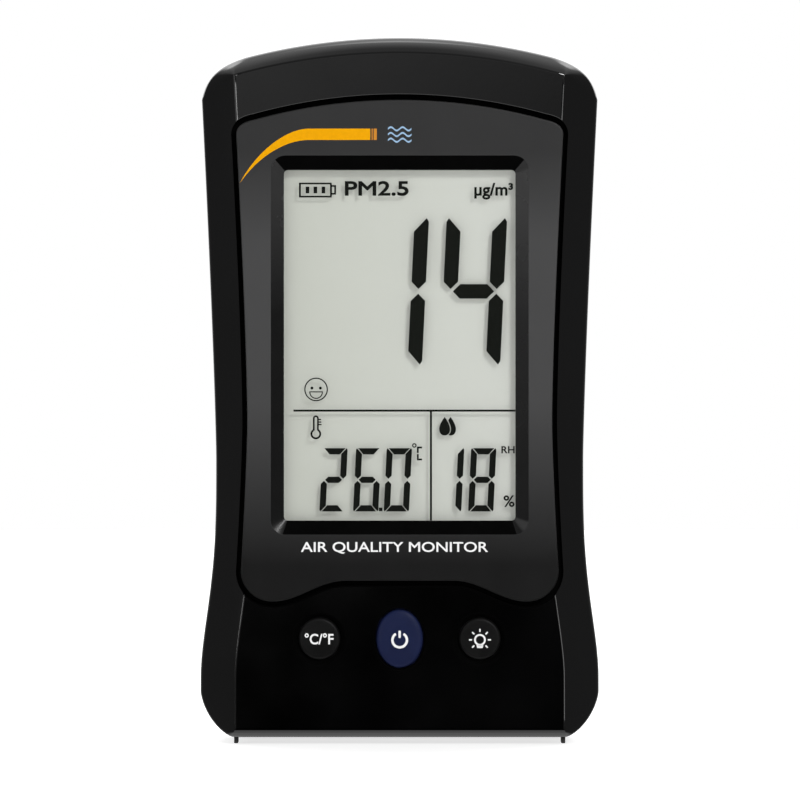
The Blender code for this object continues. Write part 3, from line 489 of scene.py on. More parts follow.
def bezier(points, steps):
    """The points of a cubic curve after its first point, up to and including its last."""
    found = []
    for i in range(1, steps + 1):
        t = i / steps
        weights = ((1 - t) ** 3, 3 * t * (1 - t) ** 2, 3 * t * t * (1 - t), t**3)
        found.append(tuple(sum(w * p[k] for w, p in zip(weights, points)) for k in (0, 1)))
    return found


def mirrored(half):
    """A closed outline from its right half, which runs from the bottom centre to the top centre."""
    return half + [(-x, z) for x, z in reversed(half[1:-1])]


def grown(outline, distance):
    """The outline, which runs anticlockwise, moved outwards by `distance` along its own normals."""
    points = []
    for i, (x, z) in enumerate(outline):
        before, after = Vector(outline[i - 1]), Vector(outline[(i + 1) % len(outline)])
        run = (after - before).normalized()
        points.append((x + run.y * distance, z - run.x * distance))
    return points


def flared(outline, steps):
    """A body with an outline grown by `more` at each depth of a list of (more, y)."""
    return loft([at_depth(grown(outline, more), y) for more, y in steps])


def lay_across(bm, centre_y, centre_z):
    """Lay a body that was turned about the Y axis along X instead."""
    for vert in bm.verts:
        x, y, z = vert.co
        vert.co = (y, centre_y - x, centre_z + z)
    return bm


# --- pieces


def new_object(name, bm, material=None):
    """An object from a mesh in millimetres, lifted to the case's height above the surface."""
    for vert in bm.verts:
        vert.co = (vert.co + Vector((0, 0, LIFT))) * MM
    bmesh.ops.recalc_face_normals(bm, faces=bm.faces)
    obj = linked(name, mesh_from(name, bm))
    if material:
        obj.data.materials.append(material)
    return obj


def mesh_from(name, bm):
    mesh = bpy.data.meshes.new(name)
    bm.to_mesh(mesh)
    bm.free()
    return mesh


def linked(name, data):
    """A new object in the scene for a mesh, a curve, a light or a camera."""
    obj = bpy.data.objects.new(name, data)
    bpy.context.scene.collection.objects.link(obj)
    return obj


def combine(obj, tool_mesh, operation):
    """Cut a shape from a piece, or join it on, at once."""
    tool = new_object(obj.name + "_tool", tool_mesh)
    modifier = obj.modifiers.new(operation.title(), "BOOLEAN")
    modifier.operation = operation
    modifier.solver = "EXACT"
    modifier.object = tool
    shaped = shown_mesh(obj)
    obj.modifiers.clear()
    obj.data = shaped
    bpy.data.objects.remove(tool)


def shown_mesh(obj):
    """A mesh of an object as it looks with its modifiers, or of a lettering curve."""
    graph = bpy.context.evaluated_depsgraph_get()
    return bpy.data.meshes.new_from_object(obj.evaluated_get(graph))


def cut(obj, *tool_meshes):
    for tool_mesh in tool_meshes:
        combine(obj, tool_mesh, "DIFFERENCE")


def join(obj, tool_mesh):
    combine(obj, tool_mesh, "UNION")


def finish_piece(obj, body, slot, *nodes, angle=28.0):
    """Shade a piece, and say what it rides on and which CAD nodes it stands for; its slot is not used."""
    obj.data.shade_smooth()
    obj.data.set_sharp_from_angle(angle=math.radians(angle))
    if any(len(face.vertices) > 4 for face in obj.data.polygons):
        weighted = obj.modifiers.new("Weighted normals", "WEIGHTED_NORMAL")
        weighted.keep_sharp = True
    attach(obj, body)
    if nodes:
        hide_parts(*nodes)


# --- outlines


def side_half_width(z):
    """Half the width of the case at height z: narrow at the waist, flaring to shoulders and hips."""
    if z >= WAIST_Z:
        rise = (z - WAIST_Z) / (SHOULDER_Z - WAIST_Z)
        return WAIST_HALF + (SHOULDER_HALF - WAIST_HALF) * rise**UPPER_FLARE
    drop = min(1.0, (WAIST_Z - z) / (WAIST_Z - HIP_Z)) ** LOWER_FLARE
    return WAIST_HALF + (HIP_HALF - WAIST_HALF) * drop * drop * (3 - 2 * drop)


def top_arc(x):
    return CASE_HEIGHT - TOP_RADIUS + math.sqrt(TOP_RADIUS**2 - x * x)


def case_stations(corner_steps=14, side_steps=56, top_steps=22):
    """Rows of (edge point, face point, face point drawn in, edge depth), from bottom centre to top centre.

    The edge point is on the outline that the case shows from the front. The face point is the end of
    the facet that starts there, on the flat front face; each corner's facets meet in one face point.
    The point drawn in is where the rounding between facet and face ends.
    """
    soft = SOFT_RIDGE
    face_low, face_high = BASE_CHAMFER, top_arc(BASE_HALF) - TOP_CHAMFER
    low = (side_half_width(face_low) - RIDGE_INSET, face_low)
    high = (side_half_width(face_high) - RIDGE_INSET, face_high)
    low_in, high_in = (low[0] - soft, low[1] + soft), (high[0] - soft, high[1] - soft)
    rows = [((0.0, 0.0), (0.0, face_low), (0.0, low_in[1]), BASE_EDGE_Y)]
    for a in angles(0, 90, corner_steps):
        x = BASE_HALF + (HIP_HALF - BASE_HALF) * math.sin(a) ** (2 / CORNER_POWER)
        drop = max(0.0, math.cos(a)) ** (2 / CORNER_POWER)
        depth = SIDE_EDGE_Y + (BASE_EDGE_Y - SIDE_EDGE_Y) * drop * drop
        rows.append(((x, BASE_CORNER * (1 - drop)), low, low_in, depth))
    for i in range(1, side_steps + 1):
        z = BASE_CORNER + (SHOULDER_Z - BASE_CORNER) * i / side_steps
        face_z = face_low + (face_high - face_low) * i / side_steps
        face_x = side_half_width(face_z) - RIDGE_INSET
        drawn_in = (face_x - soft, min(max(face_z, low_in[1]), high_in[1]))
        rows.append(((side_half_width(z), z), (face_x, face_z), drawn_in, SIDE_EDGE_Y))
    shoulder, arc_end = (SHOULDER_HALF, SHOULDER_Z), (TOP_ARC_HALF, top_arc(TOP_ARC_HALF))
    for i, point in enumerate(bezier((shoulder, *SHOULDER_CURVE, arc_end), corner_steps), 1):
        depth = SIDE_EDGE_Y + (TOP_EDGE_Y - SIDE_EDGE_Y) * i / corner_steps
        rows.append((point, high, high_in, depth))
    for i in range(1, top_steps + 1):
        x = TOP_ARC_HALF * (1 - i / top_steps)
        face_x = high[0] * (1 - i / top_steps)
        face_z = top_arc(face_x) - TOP_CHAMFER
        drawn_in = (min(face_x, high_in[0]), face_z - soft)
        rows.append(((x, top_arc(x)), (face_x, face_z), drawn_in, TOP_EDGE_Y))
    return rows


def case_outline(inset=0.0):
    """The case's outline, drawn in by about `inset` all round."""
    half = [row[0] for row in case_stations()]
    wide, tall = 1 - inset / HIP_HALF, 1 - 2 * inset / CASE_HEIGHT
    return mirrored([(x * wide, inset + z * tall) for x, z in half])


def case_layers(steps):
    """A body with the case's outline, drawn in by `inset` at each depth of a list of (inset, y)."""
    return loft([at_depth(case_outline(inset), y) for inset, y in steps])


def panel_top(x):
    return PANEL_TOP_Z - PANEL_TOP_RADIUS + math.sqrt(PANEL_TOP_RADIUS**2 - x * x)


def panel_half_width(z):
    low = z < PANEL_WAIST_Z
    half, end_z = (PANEL_HIP_HALF, PANEL_HIP_Z) if low else (PANEL_SHOULDER_HALF, PANEL_SHOULDER_Z)
    flare = ((z - PANEL_WAIST_Z) / (end_z - PANEL_WAIST_Z)) ** PANEL_FLARE
    return PANEL_WAIST_HALF + (half - PANEL_WAIST_HALF) * flare


def panel_outline(corner_steps=12, side_steps=36, wave_steps=20):
    """The display panel: a waisted shield whose lower edge rises in the middle."""
    half = [(0.0, PANEL_RISE_Z)]
    for i in range(wave_steps + 1):
        t = i / wave_steps
        x = PANEL_RISE_X + (PANEL_LOBE_X - PANEL_RISE_X) * t
        half.append((x, PANEL_LOBE_Z + (PANEL_RISE_Z - PANEL_LOBE_Z) * (1 + math.cos(math.pi * t)) / 2))
    for a in angles(0, 90, corner_steps)[1:]:
        x = PANEL_LOBE_X + (PANEL_HIP_HALF - PANEL_LOBE_X) * math.sin(a)
        half.append((x, PANEL_HIP_Z - (PANEL_HIP_Z - PANEL_LOBE_Z) * math.cos(a)))
    for i in range(1, side_steps + 1):
        z = PANEL_HIP_Z + (PANEL_SHOULDER_Z - PANEL_HIP_Z) * i / side_steps
        half.append((panel_half_width(z), z))
    side, arc_end = (PANEL_SHOULDER_HALF, PANEL_SHOULDER_Z), (PANEL_ARC_HALF, panel_top(PANEL_ARC_HALF))
    half += bezier((side, *PANEL_CORNER_CURVE, arc_end), corner_steps)
    for i in range(1, wave_steps + 1):
        x = PANEL_ARC_HALF * (1 - i / wave_steps)
        half.append((x, panel_top(x)))
    return mirrored(half)


def leg_outline(margin, top_z):
    """The stand's leg, which narrows to its foot, with the same margin all round below top_z."""
    right = [
        (STAND_HALF - 8.0, STAND_FOOT_Z - margin),
        (STAND_HALF - 5.0 + margin, STAND_FOOT_Z + 3.0 - margin),
        (STAND_HALF + margin, STAND_SHOULDER_Z),
        (STAND_HALF + margin, top_z),
    ]
    return right + [(-x, z) for x, z in reversed(right)]


def screw_places(x, heights):
    return [(side * x, z) for z in heights for side in (-1, 1)]


def foot_slots(low_y, high_y):
    """Slots for the feet whose row lies between two depths."""
    half_x, half_y = FOOT_WIDTH / 2 + FOOT_CLEARANCE, FOOT_LENGTH / 2 + FOOT_CLEARANCE
    rows = [y for y in FOOT_ROWS.values() if low_y < y < high_y]
    places = [(side * FOOT_X, y) for y in rows for side in FOOT_SIDES.values()]
    return [block((x - half_x, y - half_y, -1.0), (x + half_x, y + half_y, 1.4)) for x, y in places]


# --- case


def facet_profile(edge, face, drawn_in, edge_y):
    """The section of the front cover at one station, from the seam to the flat face."""
    outer = Vector((edge[0], edge_y, edge[1]))
    ridge = Vector((face[0], FACE_Y, face[1]))
    slope = (ridge - outer).normalized()
    upward = max(0.0, slope.dot(Vector((0, -0.7, -0.7))))
    soft_edge = SOFT_EDGE + SOFT_TOP_EDGE * upward * upward
    centre = Vector((0, PARTING_Y, CASE_HEIGHT / 2))
    seam_in = Vector((edge[0], PARTING_Y, edge[1]))
    seam_in += (centre - seam_in).normalized() * SEAM
    points = [seam_in, Vector((edge[0], PARTING_Y - SEAM, edge[1]))]
    facet_start, facet_end = outer + slope * soft_edge, ridge - slope * SOFT_RIDGE
    points += curve_between(outer + Vector((0, soft_edge, 0)), outer, facet_start, 5)
    # The facet along the top is crowned, and fades to a nearly flat one down the sides.
    outward = Vector((-slope.x, 0, -slope.z)).normalized() * -slope.y + Vector((0, slope.xz.length, 0)) * -1
    crown = CROWN + TOP_CROWN * upward**6
    for i in range(1, 6):
        t = i / 6
        points.append(facet_start.lerp(facet_end, t) + outward * (crown * 4 * t * (1 - t)))
    points += curve_between(facet_end, ridge, Vector((drawn_in[0], FACE_Y, drawn_in[1])), 4)
    return points


def make_front_cover():
    half = [facet_profile(*row) for row in case_stations()]
    left = [[Vector((-p.x, p.y, p.z)) for p in profile] for profile in reversed(half[1:-1])]
    rings = list(zip(*(half + left)))
    cover = new_object("front_cover_shell", loft(rings), FINISH["case_front"])
    cut(cover, case_layers(((WALL, PARTING_Y + 1), (WALL, HOLLOW_FRONT_Y), (7.2, FLOOR_BACK_Y))))
    groove = grown(panel_outline(), PANEL_GROOVE)
    soft = [(0.34, -2.0), (0.34, -0.1), (0.2, 0.02), (0.08, 0.12), (0.0, 0.3)]
    cut(cover, flared(groove, [(more, FACE_Y + y) for more, y in soft] + [(0.0, RECESS_FLOOR_Y)]))
    cut(cover, prism(rounded_box(*SCREEN_OPENING), RECESS_FLOOR_Y - 1, FLOOR_BACK_Y + 1))
    cut(cover, prism(rounded_box(*KEY_WELL), KEY_WELL_Y, FLOOR_BACK_Y + 1))
    for x in (-BUTTON_SPACING, BUTTON_SPACING):
        cut(cover, loft(dish_rings((x, BUTTON_Z), (SIDE_BUTTON_RADIUS, SIDE_BUTTON_RADIUS), 0.7)))
    cut(cover, loft(dish_rings((0, BUTTON_Z), (POWER_HALF_WIDTH, POWER_HALF_HEIGHT), 0.12)))
    for place in screw_places(CASE_SCREW_X, CASE_SCREW_Z):
        join(cover, round_bar(place, BOSS_RADIUS, BOSS_FRONT_Y, PARTING_Y, 32))
        cut(cover, round_bar(place, PILOT_RADIUS, PILOT_FRONT_Y, PARTING_Y + 1, 20))
    cut(cover, port_opening(), *foot_slots(FACE_Y, PARTING_Y))
    cover.data.materials.append(FINISH["recess"])
    # Painted shade: the groove's walls and floor and the dishes round the buttons take the matt black
    # finish, partly a real matt finish and partly standing in for the shade that falls in them.
    for face in cover.data.polygons:
        if in_front_recess(face.center / MM, face.normal):
            face.material_index = 1
    finish_piece(cover, "case", "case_front", "front_cover")


def in_front_recess(centre, normal):
    """Whether a face of the front cover lies in the panel's groove or in the dish round a button."""
    x, y, z = abs(centre.x), centre.y, centre.z - LIFT
    if not FACE_Y + 0.01 < y < FLOOR_BACK_Y:
        return False
    inside = x < PANEL_HIP_HALF + PANEL_GROOVE + 1 and PANEL_LOBE_Z - 2 < z < PANEL_TOP_Z + 2
    wall_or_floor = y > FACE_Y + 0.3 and (abs(normal.y) < 0.3 or y > RECESS_FLOOR_Y - 0.05)
    dish = x < 26 and 10 < z < PANEL_LOBE_Z - 0.4
    return dish or inside and (wall_or_floor or normal.z > 0.25)


def dish_rings(centre, half_sizes, dish):
    """The hole round a button: a soft rim, a shallow dish `dish` wide, then straight walls."""
    half_width, half_height = (size + BUTTON_CLEARANCE for size in half_sizes)
    steps = [(dish + 0.32, -1.0), (dish + 0.32, -0.06), (dish + 0.2, 0.0), (dish + 0.06, 0.1)]
    steps += [(dish * 0.9, 0.26), (dish * 0.45, 0.52), (0.0, 0.8), (0.0, FLOOR_BACK_Y - FACE_Y)]
    return [at_depth(oval(centre, half_width + more, half_height + more), FACE_Y + y) for more, y in steps]


def port_opening():
    """The charging port's opening, with a shallow funnel in the bottom wall."""
    rings = []
    middle, reach = (PORT_FRONT_Y + PORT_BACK_Y) / 2, (PORT_BACK_Y - PORT_FRONT_Y) / 2
    for (wider, deeper), z in ((PORT_FUNNEL, -0.5), ((0.0, 0.0), 0.8), ((0.0, 0.0), 3.5)):
        half, depth = PORT_HALF + wider, reach + deeper
        corners = rounded_polygon(rectangle(-half, -depth, half, depth), 0.9)
        rings.append([(x, middle + y, z) for x, y in corners])
    return loft(rings)


def make_rear_cover():
    first_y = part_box("rear_cover")[0].y / MM
    rings = [(0.2, first_y), (0.0, first_y + SEAM), (0.0, BACK_EDGE_Y)]
    for a in angles(0, 90, 12)[1:]:
        y = BACK_EDGE_Y + (BACK_Y - BACK_EDGE_Y) * math.sin(a)
        rings.append((BACK_EDGE_INSET * (1 - math.cos(a)) ** 1.25, y))
    cover = new_object("rear_cover_shell", case_layers(rings), FINISH["case_back"])
    cut(cover, case_layers(((WALL, first_y - 1), (WALL, HOLLOW_BACK_Y), (4.0, 13.6), (6.8, 15.3))))
    join(cover, block(*STAND_HOUSING))
    for place in screw_places(CASE_SCREW_X, CASE_SCREW_Z):
        join(cover, round_bar(place, REAR_BOSS_RADIUS, first_y, REAR_BOSS_BACK_Y, 32))
        well = [(WELL_RADIUS, 2.0), (WELL_RADIUS, BACK_Y - 0.3)]
        cut(cover, turned(place, well + [(WELL_MOUTH, BACK_Y), (WELL_MOUTH, BACK_Y + 1)], 32))
        cut(cover, round_bar(place, 1.2, first_y - 1, 3.0, 20))
    recess = rounded_polygon(leg_outline(STAND_MARGIN, STAND_RECESS_HIGH), 1.6)
    cut(cover, prism(recess, STAND_RECESS_Y, BACK_Y + 1))
    notch = rounded_box(13.5, STAND_RECESS_LOW, STAND_FOOT_Z + 4, 3.0)
    cut(cover, prism(notch, STAND_RECESS_Y, BACK_Y + 1))
    bore = round_bar((0, 0), PIN_RADIUS + PIN_CLEARANCE, -24.2, 24.2, 24)
    cut(cover, lay_across(bore, STAND_AXIS_Y, STAND_AXIS_Z))
    for i in range(VENT_ROWS):
        for x in (-VENT_X, VENT_X):
            cut(cover, vent_slot(x, VENT_LOW + VENT_STEP * i))
    cut(cover, *foot_slots(PARTING_Y, BACK_Y))
    finish_piece(cover, "case", "case_back", "rear_cover")


def make_seam_lip():
    """The lip inside the seam between the covers, which closes the gap from within."""
    low, high = PARTING_Y - 0.15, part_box("rear_cover")[0].y / MM + 0.15
    lip = new_object("seam_lip", prism(case_outline(0.6), low, high), FINISH["recess"])
    cut(lip, prism(case_outline(WALL - 0.3), low - 1, high + 1))
    finish_piece(lip, "case", "case_back")


def vent_slot(x, z):
    """A round-ended slot through the back wall, with softened outer edges."""
    outline = rounded_box(9.0, z, z + 1.8, 0.89, 6, x)
    soft = ((0.0, 14.5), (0.0, BACK_Y - 0.3), (0.1, BACK_Y - 0.1), (0.3, BACK_Y), (0.3, BACK_Y + 1))
    return flared(outline, soft)


def make_feet():
    for row, y in FOOT_ROWS.items():
        for hand, side in FOOT_SIDES.items():
            x = side * FOOT_X
            sides = rectangle(x - FOOT_WIDTH / 2, -LIFT, x + FOOT_WIDTH / 2, 1.1)
            bm = prism(rounded_polygon(sides, 0.22, 4), y - FOOT_LENGTH / 2, y + FOOT_LENGTH / 2, 0.2)
            foot = new_object(f"foot_{row}_{hand}_tip", bm, FINISH["rubber"])
            finish_piece(foot, "case", "rubber", f"foot_{row}_{hand}")


def make_case_screws():
    """Self-tapping screws with a domed head and a cross recess, at the bottom of their wells."""
    for number, place in enumerate(screw_places(CASE_SCREW_X, CASE_SCREW_Z), 1):
        profile = [(0.3, -9.6), (0.95, -8.6)]
        threads = 14
        for i in range(threads):
            y = -8.4 + 8.8 * i / threads
            profile += [(0.78, y), (0.97, y + 0.3)]
        profile += [(0.9, 2.3), (1.7, 2.3), (1.7, 3.0), (1.55, 3.4), (1.1, 3.65), (0.4, 3.7)]
        screw = new_object(f"case_screw_{number}_cross", turned(place, profile, 24), FINISH["steel"])
        x, z = place
        cut(screw, block((x - 1.0, 2.9, z - 0.18), (x + 1.0, 4.5, z + 0.18)))
        cut(screw, block((x - 0.18, 2.9, z - 1.0), (x + 0.18, 4.5, z + 1.0)))
        finish_piece(screw, "case", "steel", f"case_screw_{number}")


# --- display


def make_bezel():
    """The panel: a rounded outer edge, and sloping window edges, matt black where they face up or down as
    painted shade.
    """
    outline = panel_outline()
    rings = rounded_front(outline, 0.4, PANEL_Y, 4) + [at_depth(outline, PANEL_BACK_Y)]
    bezel = new_object("display_panel", loft(rings), FINISH["panel"])
    bezel.data.materials.append(FINISH["bevel"])
    bezel.data.materials.append(FINISH["recess"])
    steps = ((0.3, -1.0, 3.5), (0.3, -0.03, 3.5), (0.16, 0.03, 3.36), (0.04, 0.12, 3.24))
    rings = []
    for more, depth, radius in steps:
        sides = (BEVEL_HALF + more, BEVEL_LOW - more, BEVEL_HIGH + more, radius)
        rings.append(at_depth(rounded_box(*sides), PANEL_Y + depth))
    view = rounded_box(VIEW_HALF, VIEW_LOW, VIEW_HIGH, 0.9)
    rings += [at_depth(view, PANEL_BACK_Y - 0.25), at_depth(view, PANEL_BACK_Y + 1)]
    cut(bezel, loft(rings))
    for face in bezel.data.polygons:
        x, y, z = face.center / MM
        inside = abs(x) < BEVEL_HALF and BEVEL_LOW < z - LIFT < BEVEL_HIGH
        if inside and y > PANEL_Y + 0.1:
            # Painted shade: window edges that face down, and the steep ones that face up, take the matt
            # black finish.
            steepness = 1.0 if face.normal.z < 0 else 6.0
            face.material_index = 2 if abs(face.normal.z) > steepness * abs(face.normal.x) else 1
    finish_piece(bezel, "case", "panel", "display_bezel", angle=24.0)


def make_lcd():
    low, high = (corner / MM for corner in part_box("lcd_glass"))
    outline = rounded_box(high.x, low.z - LIFT, high.z - LIFT, 0.8, 4)
    glass = new_object("lcd_cell", prism(outline, low.y, high.y, 0.12), FINISH["lcd"])
    finish_piece(glass, "case", "lcd", "lcd_glass")


class Drawing:
    """Flat marks on one plane, gathered in the XZ plane and raised into thin plates."""

    def __init__(self):
        self.outlines = []
        self.letterings = []

    def add(self, outline):
        self.outlines.append(outline)

    def box(self, x0, z0, x1, z1):
        self.add(rectangle(x0, z0, x1, z1))

    def disc(self, x, z, radius, sides=24):
        self.add(oval((x, z), radius, radius, sides))

    def bar(self, start, end, width):
        """A straight stroke with square ends."""
        start, end = Vector(start), Vector(end)
        run = (end - start).normalized() * width / 2
        side = Vector((run.y, -run.x))
        self.add([tuple(p) for p in (start - side, start + side, end + side, end - side)])

    def ring(self, x, z, radius, width, first=0.0, last=360.0, steps=40):
        """A ring, or the part of one between two angles in degrees, in short pieces that share edges."""
        ends = []
        for a in angles(first, last, steps):
            reaches = (radius - width / 2, radius + width / 2)
            ends.append([(x + reach * math.cos(a), z + reach * math.sin(a)) for reach in reaches])
        for (inner, outer), (next_inner, next_outer) in zip(ends, ends[1:]):
            self.add([inner, next_inner, next_outer, outer])

    def text(self, words, x0, z0, x1, z1, weight):
        """Lettering that fills the box from (x0, z0) to (x1, z1), its strokes thickened by `weight`."""
        curve = bpy.data.curves.new("lettering", "FONT")
        curve.body = words
        curve.resolution_u = 6
        holder = linked("lettering", curve)
        mesh = shown_mesh(holder)
        bpy.data.objects.remove(holder)
        xs, ys = ([v.co[axis] for v in mesh.vertices] for axis in (0, 1))
        left, bottom = min(xs), min(ys)
        wide, tall = (x1 - x0) / (max(xs) - left), (z1 - z0) / (max(ys) - bottom)
        for v in mesh.vertices:
            v.co = (x0 + (v.co.x - left) * wide, 0, z0 + (v.co.y - bottom) * tall)
        bm = bmesh.new()
        bm.from_mesh(mesh)
        bmesh.ops.remove_doubles(bm, verts=bm.verts, dist=2e-3)
        embolden(bm, weight)
        bm.to_mesh(mesh)
        bm.free()
        self.letterings.append(mesh)

    def plates(self, surface_y):
        """The marks as one mesh of closed plates whose backs lie on surface_y."""
        bm = bmesh.new()
        for outline in self.outlines:
            bm.faces.new([bm.verts.new((x, surface_y, z)) for x, z in outline])
        for flat in self.letterings:
            for v in flat.vertices:
                v.co.y = surface_y
            bm.from_mesh(flat)
        bmesh.ops.remove_doubles(bm, verts=bm.verts, dist=1e-5)
        whole = bm.faces[:] + bm.edges[:] + bm.verts[:]
        raised = bmesh.ops.extrude_face_region(bm, geom=whole, use_keep_orig=True)["geom"]
        moved = [item for item in raised if isinstance(item, bmesh.types.BMVert)]
        bmesh.ops.translate(bm, vec=(0, -PRINT, 0), verts=moved)
        return bm


def embolden(bm, weight):
    """Move the edge of flat triangulated lettering outwards by `weight`."""
    pushes = {}
    for edge in bm.edges:
        if not edge.is_boundary:
            continue
        start, end = (vert.co for vert in edge.verts)
        run = (end - start).normalized()
        outward = Vector((run.z, 0, -run.x))
        if outward.dot(edge.link_faces[0].calc_center_median() - start) > 0:
            outward.negate()
        for vert in edge.verts:
            pushes.setdefault(vert, []).append(outward)
    for vert, normals in pushes.items():
        first, last = normals[0], normals[-1]
        vert.co += (first + last) * weight / max(0.6, 1 + first.dot(last))


SEGMENTS = {"0": "abcdef", "1": "bc", "2": "abged", "4": "fgbc", "6": "afgedc", "8": "abcdefg"}


def seven_segment(drawing, digit, right, bottom, width, height, thick, lean=math.tan(math.radians(2.75))):
    """A digit of leaning bars. right is its right edge at the top."""
    half = height / 2
    near, far = 0.16 * thick, 0.66 * thick
    left_upright = [(0, half + far), (thick / 2, half + near), (thick, half + far)]
    left_upright += [(thick, height - 0.93 * thick), (0.16 * thick, height), (0, height - 0.25 * thick)]
    top_bar = [(0.32 * thick, height), (1.2 * thick, height - thick)]
    top_bar += [(width - 1.2 * thick, height - thick), (width - 0.32 * thick, height)]
    left, right_end, low, high = 1.16 * thick, width - 1.16 * thick, half - thick / 2, half + thick / 2
    middle = [(far, half), (left, low), (right_end, low)]
    middle += [(width - far, half), (right_end, high), (left, high)]

    def over(points):
        return [(width - x, z) for x, z in points]

    def down(points):
        return [(x, height - z) for x, z in points]

    shapes = {"a": top_bar, "d": down(top_bar), "g": middle, "f": left_upright, "b": over(left_upright)}
    shapes |= {"e": down(left_upright), "c": down(over(left_upright))}
    origin = right - width - height * lean
    for name in SEGMENTS[digit]:
        drawing.add([(origin + x + z * lean, bottom + z) for x, z in shapes[name]])


def draw_readings(d):
    """The symbols and digits that the liquid crystal shows."""
    # Battery gauge.
    for z in (119.37, 122.28):
        d.box(-22.3, z, -15.04, z + 0.38)
    for x in (-22.3, -15.42):
        d.box(x, 119.75, x + 0.44, 122.28)
    for z in (120.0, 121.73):
        d.box(-14.98, z, -14.08, z + 0.38)
    d.box(-14.48, 120.38, -14.08, 121.73)
    for x in (-20.8, -19.05, -17.27):
        d.box(x, 120.3, x + 0.8, 121.77)
    # Main reading.
    seven_segment(d, "1", 6.5, 82.4, 13.4, 32.4, 3.2)
    seven_segment(d, "4", 23.8, 82.4, 13.4, 32.4, 3.2)
    # Comfort face.
    d.ring(-18.5, 76.9, 2.48, 0.27)
    for x in (-19.42, -17.55):
        d.disc(x, 77.2, 0.33, 12)
    d.ring(-18.5, 76.3, 1.38, 0.24, 180.0, 360.0, 20)
    d.box(-20.0, 76.24, -17.0, 76.48)
    # Rules.
    d.box(-23.5, 71.98, VIEW_HALF, 72.44)
    d.box(6.69, VIEW_LOW, 7.15, 71.98)
    # Thermometer.
    d.ring(-18.55, 67.05, 0.98, 0.42, -238.0, 58.0, 28)
    d.ring(-18.55, 70.5, 0.46, 0.38, 0.0, 180.0, 12)
    for x in (-19.2, -18.28):
        d.box(x, 67.8, x + 0.38, 70.5)
    for i in range(3):
        d.box(-17.9, 70.1 - 0.56 * i, -17.4 + 0.06 * i, 70.38 - 0.56 * i)
    # Droplets, the one behind cut away beside the one in front.
    near_right, near_left = droplet_side(9.95, 1), droplet_side(9.95, -1)
    far_right, far_left = droplet_side(11.25, 1), droplet_side(11.25, -1)
    d.add(near_right + near_left[::-1])
    shown = [(max(near + 0.2, far), z) for (near, z), (far, _) in zip(near_right, far_left)]
    d.add(shown + far_right[::-1])
    # Temperature.
    small = (49.9, 5.6, 14.0, 1.38)
    seven_segment(d, "2", -11.5, *small)
    seven_segment(d, "6", -4.05, *small)
    d.box(-4.62, 49.95, -3.82, 50.75)
    seven_segment(d, "0", 2.73, *small)
    d.ring(3.24, 64.5, 0.38, 0.26, steps=20)
    for z in (61.2, 63.85):
        d.box(3.81, z, 4.95, z + 0.4)
    for z in (61.6, 62.85):
        d.box(3.81, z, 4.21, z + 1.0)
    # Humidity.
    seven_segment(d, "1", 14.3, *small)
    seven_segment(d, "8", 21.4, *small)


def droplet_side(x, side, steps=16):
    """One side of a drop that stands at x, from its round bottom to its point."""
    rise = [(i / steps) ** 1.5 for i in range(steps + 1)]
    return [(x + side * 3.12 * math.sqrt(t) * (1 - t), 66.7 + 4.1 * t) for t in rise]


def make_readings():
    """The segments, in the window's thickness, so that they cast their shadow on the reflector behind."""
    readings = Drawing()
    draw_readings(readings)
    add_marks("lcd_segments", readings, WINDOW_Y + 0.25, "lcd_ink", "case", "lcd")
    words = Drawing()
    words.text("PM2.5", -12.0, 119.85, 1.85, 122.9, 0.13)
    words.text("µg/m³", 16.6, 119.0, 25.0, 122.5, 0.1)
    words.text("RH", 22.55, 62.8, 25.4, 64.3, 0.05)
    words.text("%", 23.05, 50.95, 25.35, 53.4, 0.07)
    add_marks("lcd_words", words, WINDOW_Y + 0.25, "lcd_ink", "case", "lcd")


def add_marks(name, drawing, surface_y, finish, body, slot):
    finish_piece(new_object(name, drawing.plates(surface_y), FINISH[finish]), body, slot)


# --- printed marks


def make_panel_print():
    lettering, stripe_end, air = Drawing(), Drawing(), Drawing()
    lettering.text("AIR QUALITY MONITOR", -21.75, 40.65, 19.45, 43.2, 0.04)
    stripe_end.box(-6.2, STRIPE_LOW, -5.95, STRIPE_HIGH)
    stripe_end.box(-5.75, STRIPE_LOW, -5.05, STRIPE_HIGH)
    for row in range(3):
        middle = 131.9 + 1.25 * row
        wave = [(-2.6 + 5.2 * i / 24, middle + 0.38 * math.sin(i * math.pi / 6)) for i in range(25)]
        air.add([(x, z - 0.2) for x, z in wave] + [(x, z + 0.2) for x, z in reversed(wave)])
    table = (
        ("panel_lettering", lettering, "print_white"),
        ("panel_stripe", stripe_drawing(), "print_orange"),
        ("panel_stripe_end", stripe_end, "print_amber"),
        ("panel_air_mark", air, "print_pale"),
    )
    for name, drawing, finish in table:
        add_marks(name, drawing, PANEL_Y, finish, "case", "panel")


def stripe_drawing():
    """An orange bar whose left end sweeps down in a tapering tail to the panel's edge."""
    d = Drawing()
    bend, tip = (-20.0, -25.0), (-35.3, 122.4)
    sides = []
    for z, approach in ((STRIPE_HIGH, (-31.5, 129.6)), (STRIPE_LOW, (-31.0, 128.6))):
        start = (bend[0], z)
        sides.append([start] + bezier((start, (bend[1], z), approach, tip), 28))
    upper, lower = sides
    d.add([(-6.5, STRIPE_LOW), (-6.5, STRIPE_HIGH)] + upper + lower[-2::-1])
    return d


# --- buttons


